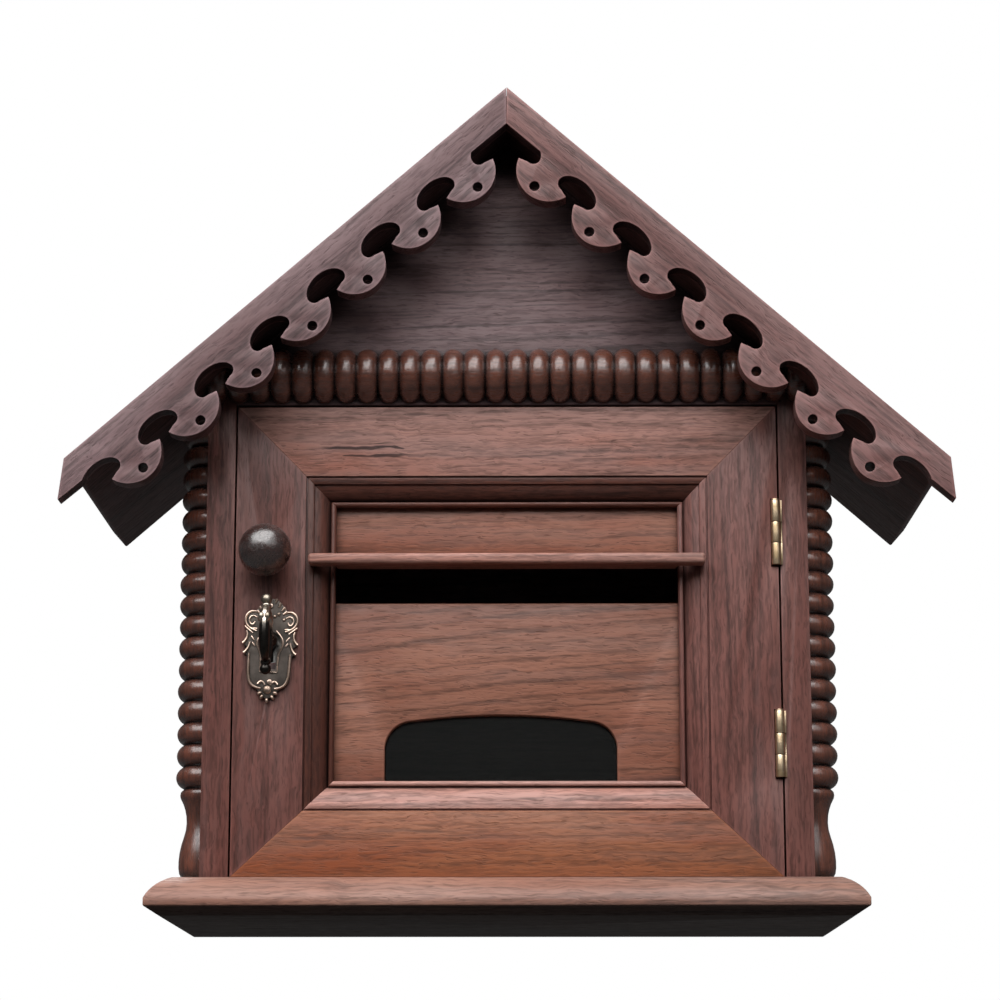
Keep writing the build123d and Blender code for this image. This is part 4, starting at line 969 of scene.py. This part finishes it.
@dataclass
class Escutcheon:
    """The cast keyhole plate: a flat ground, raised scrollwork on it and two nails."""

    finishes: Finishes
    keyhole: Point = (-118.2 * MM, -60.5 * MM, 136.6 * MM)
    tilt: float = math.radians(-2.6)
    ground_edge: float = 0.25 * MM
    ground_face: float = -60.4 * MM
    thickness: float = 1.6 * MM
    outline: Pairs = (
        (0.0, 22.2), (2.6, 21.6), (4.6, 19.8), (6.4, 17.6), (7.8, 15.9), (9.6, 16.2), (12.4, 14.8), (13.6, 11.4),
        (12.9, 8.2), (12.2, 6.4), (12.0, 4.4), (11.2, 1.9), (12.2, 0.9), (14.0, -0.6), (13.4, -1.6), (11.6, -2.2),
        (11.4, -3.8), (13.2, -5.4), (12.6, -6.4), (11.2, -6.4), (10.9, -9.0), (10.9, -17.6), (9.6, -21.4),
        (6.6, -23.4), (4.6, -24.4), (3.9, -26.2), (2.2, -27.8), (0.0, -28.2))
    opening: Pairs = (
        (0.0, 5.5), (2.1, 5.1), (3.9, 3.9), (5.1, 2.1), (5.5, 0.0), (5.1, -2.1), (3.6, -4.2), (3.5, -13.6),
        (0.0, -13.6))
    crest: Pair = (0.0, 9.5)
    boss: Pair = (0.0, -23.9)
    strands: tuple[Strand, ...] = (
        Strand(((6.6, 15.0), (9.3, 15.9), (12.2, 14.3), (13.2, 11.2), (12.2, 8.2), (10.0, 6.5), (7.2, 5.5)), 0.65),
        Strand(((7.2, 12.3), (8.7, 13.4), (10.6, 12.7), (11.3, 10.7), (10.3, 8.8), (8.8, 8.7), (8.2, 10.3)), 0.5),
        Strand(((13.2, 7.8), (11.0, 5.9), (9.0, 4.4))),
        Strand(((12.2, 5.6), (10.5, 1.8), (13.7, -0.9)), 0.65, 1.3),
        Strand(((10.1, 0.0), (10.5, -3.9), (13.0, -5.8)), 0.65, 1.3),
        Strand(((10.2, -5.8), (10.2, -12.0), (10.0, -17.6), (8.7, -21.4), (6.0, -23.0), (3.4, -23.3)), 0.7),
        Strand(((1.4, -21.6), (2.3, -19.9), (4.0, -19.7), (4.9, -21.2)), 0.6, 1.2),
        Strand(((9.7, 2.8), (8.9, 1.8), (8.1, 0.8))),
        Strand(((9.0, -0.4), (8.3, -1.2), (7.6, -2.2))),
        Strand(((6.9, 6.6), (8.1, 6.8), (9.4, 6.6))),
        Strand(((2.8, 5.9), (5.2, 3.4), (6.5, 0.6), (6.3, -2.2), (4.7, -5.0), (4.3, -8.0), (4.3, -14.8)), 0.5),
        Strand(((-4.4, -15.0), (0.0, -15.2), (4.4, -15.0)), 0.55))
    ribs: Pairs = ((80.5, 12.8), (68.6, 11.4), (53.0, 10.6), (40.0, 9.8))
    rib_length: float = 2.4
    pearls: Pairs = ((1.5, 13.2), (3.5, 14.4), (6.2, 11.6))
    petals: Pairs = ((-153.0, 4.25), (-126.0, 4.6), (-90.0, 5.5), (-55.0, 4.7), (-22.0, 4.3))

    def at(self, right: float, up: float, level: float | None = None) -> Point:
        """A place on the plate, from millimetres right of the keyhole and above it."""
        turned = Matrix.Rotation(self.tilt, 2) @ Vector((right * MM, up * MM))
        return (self.keyhole[0] + turned.x, level or self.keyhole[1], self.keyhole[2] + turned.y)

    def ring(self, piece: Piece, half: Sequence[Pair], cuts: int) -> list[bmesh.types.BMEdge]:
        """Draw a closed line on the plate.

        Args:
            piece: The plate.
            half: The line's right half, from the top down.
            cuts: How often its corners are cut.

        Returns:
            The line's edges.
        """
        loop = [*half, *((-right, up) for right, up in reversed(half[1:-1]))]
        for _ in range(cuts):
            pairs = zip(loop, loop[1:] + loop[:1])
            loop = [(a[0] + (b[0] - a[0]) * share, a[1] + (b[1] - a[1]) * share)
                    for a, b in pairs for share in (0.25, 0.75)]
        verts = [piece.bm.verts.new(self.at(right, up, self.ground_face)) for right, up in loop]
        return [piece.bm.edges.new(pair) for pair in zip(verts, verts[1:] + verts[:1])]

    def ground(self) -> None:
        """Cast the flat ground that carries the scrollwork, with its keyhole."""
        piece = Piece("escutcheon_ground")
        edges = self.ring(piece, self.outline, 2) + self.ring(piece, self.opening, 0)
        bmesh.ops.triangle_fill(piece.bm, use_beauty=True, use_dissolve=False, edges=edges,
                                normal=(0.0, -1.0, 0.0))
        grown = bmesh.ops.extrude_face_region(piece.bm, geom=piece.bm.faces[:])["geom"]
        back = [part for part in grown if isinstance(part, bmesh.types.BMVert)]
        bmesh.ops.translate(piece.bm, verts=back, vec=(0.0, self.thickness, 0.0))
        bmesh.ops.recalc_face_normals(piece.bm, faces=piece.bm.faces)
        piece.ease(self.ground_edge)
        piece.done(self.finishes.cast_ground, "door", "antique_brass", ["escutcheon"])

    def around(self, centre: Pair, angle: float, distance: float) -> Pair:
        """A place so far from a centre, at an angle in degrees."""
        turn = math.radians(angle)
        return (centre[0] + distance * math.cos(turn), centre[1] + distance * math.sin(turn))

    def scrollwork(self) -> None:
        """Raise the volutes, the leaves, the keyhole's frame, the crest and the rosette."""
        piece = Piece("escutcheon_scrollwork")
        ribs = [Strand(tuple(self.around(self.crest, angle, outer - share * self.rib_length)
                             for share in (1.0, 0.5, 0.0)), 0.65, 1.1) for angle, outer in self.ribs]
        for strand in (*self.strands, *ribs):
            radii = [strand.radius * MM] * len(strand.points)
            radii[0] *= 0.7
            radii[-1] *= strand.tip
            for side in (1.0, -1.0):
                piece.strand([self.at(side * right, up) for right, up in strand.points], radii)
        for right, up in self.pearls:
            for side in (-1.0, 1.0):
                piece.pearl(self.at(side * right, up), (0.85 * MM, 0.75 * MM, 0.85 * MM))
        piece.pearl(self.at(*self.boss), (2.2 * MM, 1.3 * MM, 2.2 * MM))
        for angle, distance in self.petals:
            drop = (1.3 * MM, 0.95 * MM, 0.85 * MM)
            piece.pearl(self.at(*self.around(self.boss, angle, distance)), drop, angle)
        piece.done(self.finishes.cast_relief, "door", "antique_brass")

    def build(self) -> None:
        """Cast the plate, its scrollwork and its nails."""
        self.ground()
        self.scrollwork()
        eased("escutcheon_nails", self.ground_edge, self.finishes.cast_relief, "door", "antique_brass")


@dataclass
class Key:
    """The key, with a cast bow between two balls."""

    finishes: Finishes
    shaft: Pair = (-118.2 * MM, 136.6 * MM)
    stem_start: float = -66.0 * MM
    bow_middle: float = -85.6 * MM
    bow_reach: Pair = (9.7, 13.2)
    bow_radii: Pairs = (
        (-13.3, 1.5), (-9.5, 2.4), (-4.0, 2.8), (2.0, 2.7), (5.0, 2.2), (7.4, 2.9), (9.5, 2.6), (11.8, 2.2),
        (13.3, 1.7))
    stem: Pairs = (
        (-0.4, 0.0), (0.0, 2.5), (0.5, 3.4), (1.3, 4.0), (2.5, 3.9), (3.3, 3.2), (4.0, 2.6), (6.0, 2.3),
        (7.6, 2.6), (8.6, 3.3), (9.6, 2.9), (10.6, 2.2), (11.5, 1.6), (11.7, 0.0))
    neck: Pairs = ((12.2, 0.0), (12.3, 1.9), (13.4, 2.5), (14.4, 2.5), (15.1, 2.0), (15.5, 1.7))
    ball: Pair = (17.3, 2.8)
    lobe: Point = (1.5, -9.4, 7.2)

    def thickness(self, height: float) -> float:
        """How thick the bow is, all in millimetres.

        Args:
            height: A height above its middle.

        Returns:
            Its radius there.
        """
        for (low, thin), (high, thick) in zip(self.bow_radii, self.bow_radii[1:]):
            if height <= high:
                return thin + (thick - thin) * (height - low) / (high - low)
        return self.bow_radii[-1][1]

    def bow(self, piece: Piece) -> None:
        """Bend the bow, and set a ball on each end and two lobes under the upper one.

        Args:
            piece: The key.
        """
        x, z = self.shaft
        places, radii = [], []
        for i in range(32):
            turn = math.tau * i / 32
            rise = self.bow_reach[1] * math.sin(turn)
            places.append((x, self.bow_middle + self.bow_reach[0] * math.cos(turn) * MM, z + rise * MM))
            radii.append(self.thickness(rise) * MM)
        piece.strand(places, radii, closed=True)
        centre, reach = self.ball
        cap = [(centre - reach * math.cos(t), reach * math.sin(t))
               for t in (math.radians(38.0 + 142.0 * i / 12) for i in range(12))]
        outline = [(height * MM, radius * MM) for height, radius in (*self.neck, *cap, (centre + reach, 0.0))]
        for way in (1.0, -1.0):
            piece.lathe(outline, (x, self.bow_middle, z), (0.0, 0.0, way), 24)
        for side in (1.0, -1.0):
            place = (x + side * self.lobe[0] * MM, self.bow_middle + self.lobe[1] * MM, z + self.lobe[2] * MM)
            piece.pearl(place, (1.8 * MM, 2.2 * MM, 2.3 * MM))

    def build(self) -> None:
        """Keep the shaft and its bit, and turn a stem and a bow in place of the plain one."""
        x, z = self.shaft
        piece = Piece.copy_of("key")
        piece.ease(0.3 * MM)
        piece.keep_side((x, self.stem_start, z), (0.0, -1.0, 0.0))
        outline = [(height * MM, radius * MM) for height, radius in self.stem]
        piece.lathe(outline, (x, self.stem_start, z), (0.0, -1.0, 0.0), 32)
        self.bow(piece)
        piece.done(self.finishes.key_bronze, "key", "antique_brass", ["key"])


@dataclass
class Hinges:
    """The two butt hinges and their screws."""

    finishes: Finishes
    leaf_edge: float = 0.18 * MM

    def build(self) -> None:
        """Round the leaves' edges and finish the hinges."""
        brass = self.finishes.hinge_brass
        for level in ("upper", "lower"):
            for part, body in (("case_leaf", "case"), ("pin", "case"), ("door_leaf", "door")):
                eased(f"hinge_{part}_{level}", self.leaf_edge, brass, body, "hinge_brass")
        slotted("hinge_case_screws", (-1.0, 0.0, 0.0), brass, "case", "hinge_brass")
        slotted("hinge_door_screws", (1.0, 0.0, 0.0), brass, "door", "hinge_brass")


@dataclass(frozen=True)
class Lamp:
    """A square soft light: degrees left of the front and above the horizon, metres, and watts."""

    name: str
    left: float
    height: float
    distance: float
    size: float
    power: float


@dataclass
class Studio:
    """The floor, the lights, the background and the camera."""

    lens: float = 105.84
    camera_place: Point = (0.0075, -1.5104, -0.1043)
    camera_pitch: float = 12.2
    camera_yaw: float = 0.43
    aim: Point = (0.0, 0.0, 0.2)
    sky: float = 0.035
    shine: float = 0.06
    bounce: float = 0.025
    gap: float = -0.3 * MM
    reach: float = 6.0
    horizon: Pair = (0.35, 0.95)
    paper: Colour = (0.86, 0.86, 0.86)
    white: Colour = (1.0, 1.0, 1.0)
    lamps: tuple[Lamp, ...] = (
        Lamp("key_light", left=20.0, height=56.0, distance=1.9, size=2.6, power=88.0),
        Lamp("fill_light", left=-30.0, height=30.0, distance=2.4, size=1.6, power=9.0),
        Lamp("back_light", left=168.0, height=48.0, distance=2.4, size=1.4, power=30.0))

    def build(self) -> None:
        """Set up everything round the object."""
        self.floor()
        self.world()
        for lamp in self.lamps:
            self.hang(lamp)
        self.camera()

    def seen(self, tree: Tree) -> Socket:
        """Which rays show the background.

        Args:
            tree: The tree that asks.

        Returns:
            1 for those that do, and a small share for reflections.
        """
        path = tree.add("LightPath").outputs
        straight = tree.sum("MAXIMUM", path["Is Camera Ray"], path["Is Transmission Ray"])
        return tree.sum("MAXIMUM", straight, tree.times(path["Is Glossy Ray"], self.shine))

    def floor(self) -> None:
        """A wide pale floor that a camera under it sees through."""
        piece = Piece("floor")
        place = Matrix.Translation((0.0, 0.0, self.gap))
        bmesh.ops.create_grid(piece.bm, x_segments=1, y_segments=1, size=self.reach, matrix=place)
        tree = Tree(bpy.data.materials.new("floor_paper"))
        seen = self.seen(tree)
        paper = tree.add("BsdfDiffuse", {"Color": self.paper})
        far = tree.times(tree.step(tree.length(tree.place()), *self.horizon), seen)
        # To rays from the object the floor is a faint glow, not paper: light that stands in for the bounce from
        # the floor onto the undersides.
        glow = tree.add("Emission", {"Strength": tree.sum("MAXIMUM", seen, self.bounce)})
        share = tree.sum("ADD", far, tree.rest(seen))
        lit = tree.add("MixShader", {0: share, 1: paper, 2: glow})
        below = tree.add("NewGeometry").outputs["Backfacing"]
        under = tree.times(below, tree.add("LightPath").outputs["Is Camera Ray"])
        clear = tree.add("BsdfTransparent")
        tree.add("OutputMaterial", {"Surface": tree.add("MixShader", {0: under, 1: lit, 2: clear})})
        sheet = piece.plain(tree.owner)

    def world(self) -> None:
        """A white background, and a dimmer sky that lights the object."""
        tree = Tree(bpy.data.worlds.new("studio"))
        bpy.context.scene.world = tree.owner
        strength = tree.add("MapRange", {"Value": self.seen(tree), "To Min": self.sky})
        background = tree.add("Background", {"Color": self.white, "Strength": strength})
        tree.add("OutputWorld", {"Surface": background})

    def hang(self, lamp: Lamp) -> None:
        """Point a light at the object.

        Args:
            lamp: The light.
        """
        light = bpy.data.lights.new(lamp.name, "AREA")
        light.shape = "SQUARE"
        light.size = lamp.size
        light.energy = lamp.power
        holder = bpy.data.objects.new(lamp.name, light)
        turn, rise = math.radians(lamp.left), math.radians(lamp.height)
        towards = Vector((-math.sin(turn) * math.cos(rise), -math.cos(turn) * math.cos(rise), math.sin(rise)))
        holder.location = Vector(self.aim) + towards * lamp.distance
        holder.rotation_euler = towards.to_track_quat("Z", "Y").to_euler()
        bpy.context.scene.collection.objects.link(holder)

    def camera(self) -> None:
        """The photograph's point of view."""
        data = bpy.data.cameras.new("camera")
        data.lens = self.lens
        data.sensor_width = 36.0
        holder = bpy.data.objects.new("camera", data)
        holder.location = self.camera_place
        holder.rotation_euler = Euler((math.radians(90.0 + self.camera_pitch), 0.0, math.radians(self.camera_yaw)))
        bpy.context.scene.collection.objects.link(holder)
        bpy.context.scene.camera = holder


def main() -> None:
    """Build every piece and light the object."""
    logging.basicConfig(level=logging.INFO)
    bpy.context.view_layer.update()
    bpy.context.scene.view_settings.view_transform = "Standard"
    finishes = Finishes()
    parts = [Carcass(finishes), Roof(finishes), Turnings(finishes), Door(finishes), Knob(finishes),
             Lock(finishes), Escutcheon(finishes), Key(finishes), Hinges(finishes), Studio()]
    for part in parts:
        part.build()
        log.info("%s built", type(part).__name__)


if __name__ == "__main__":
    main()
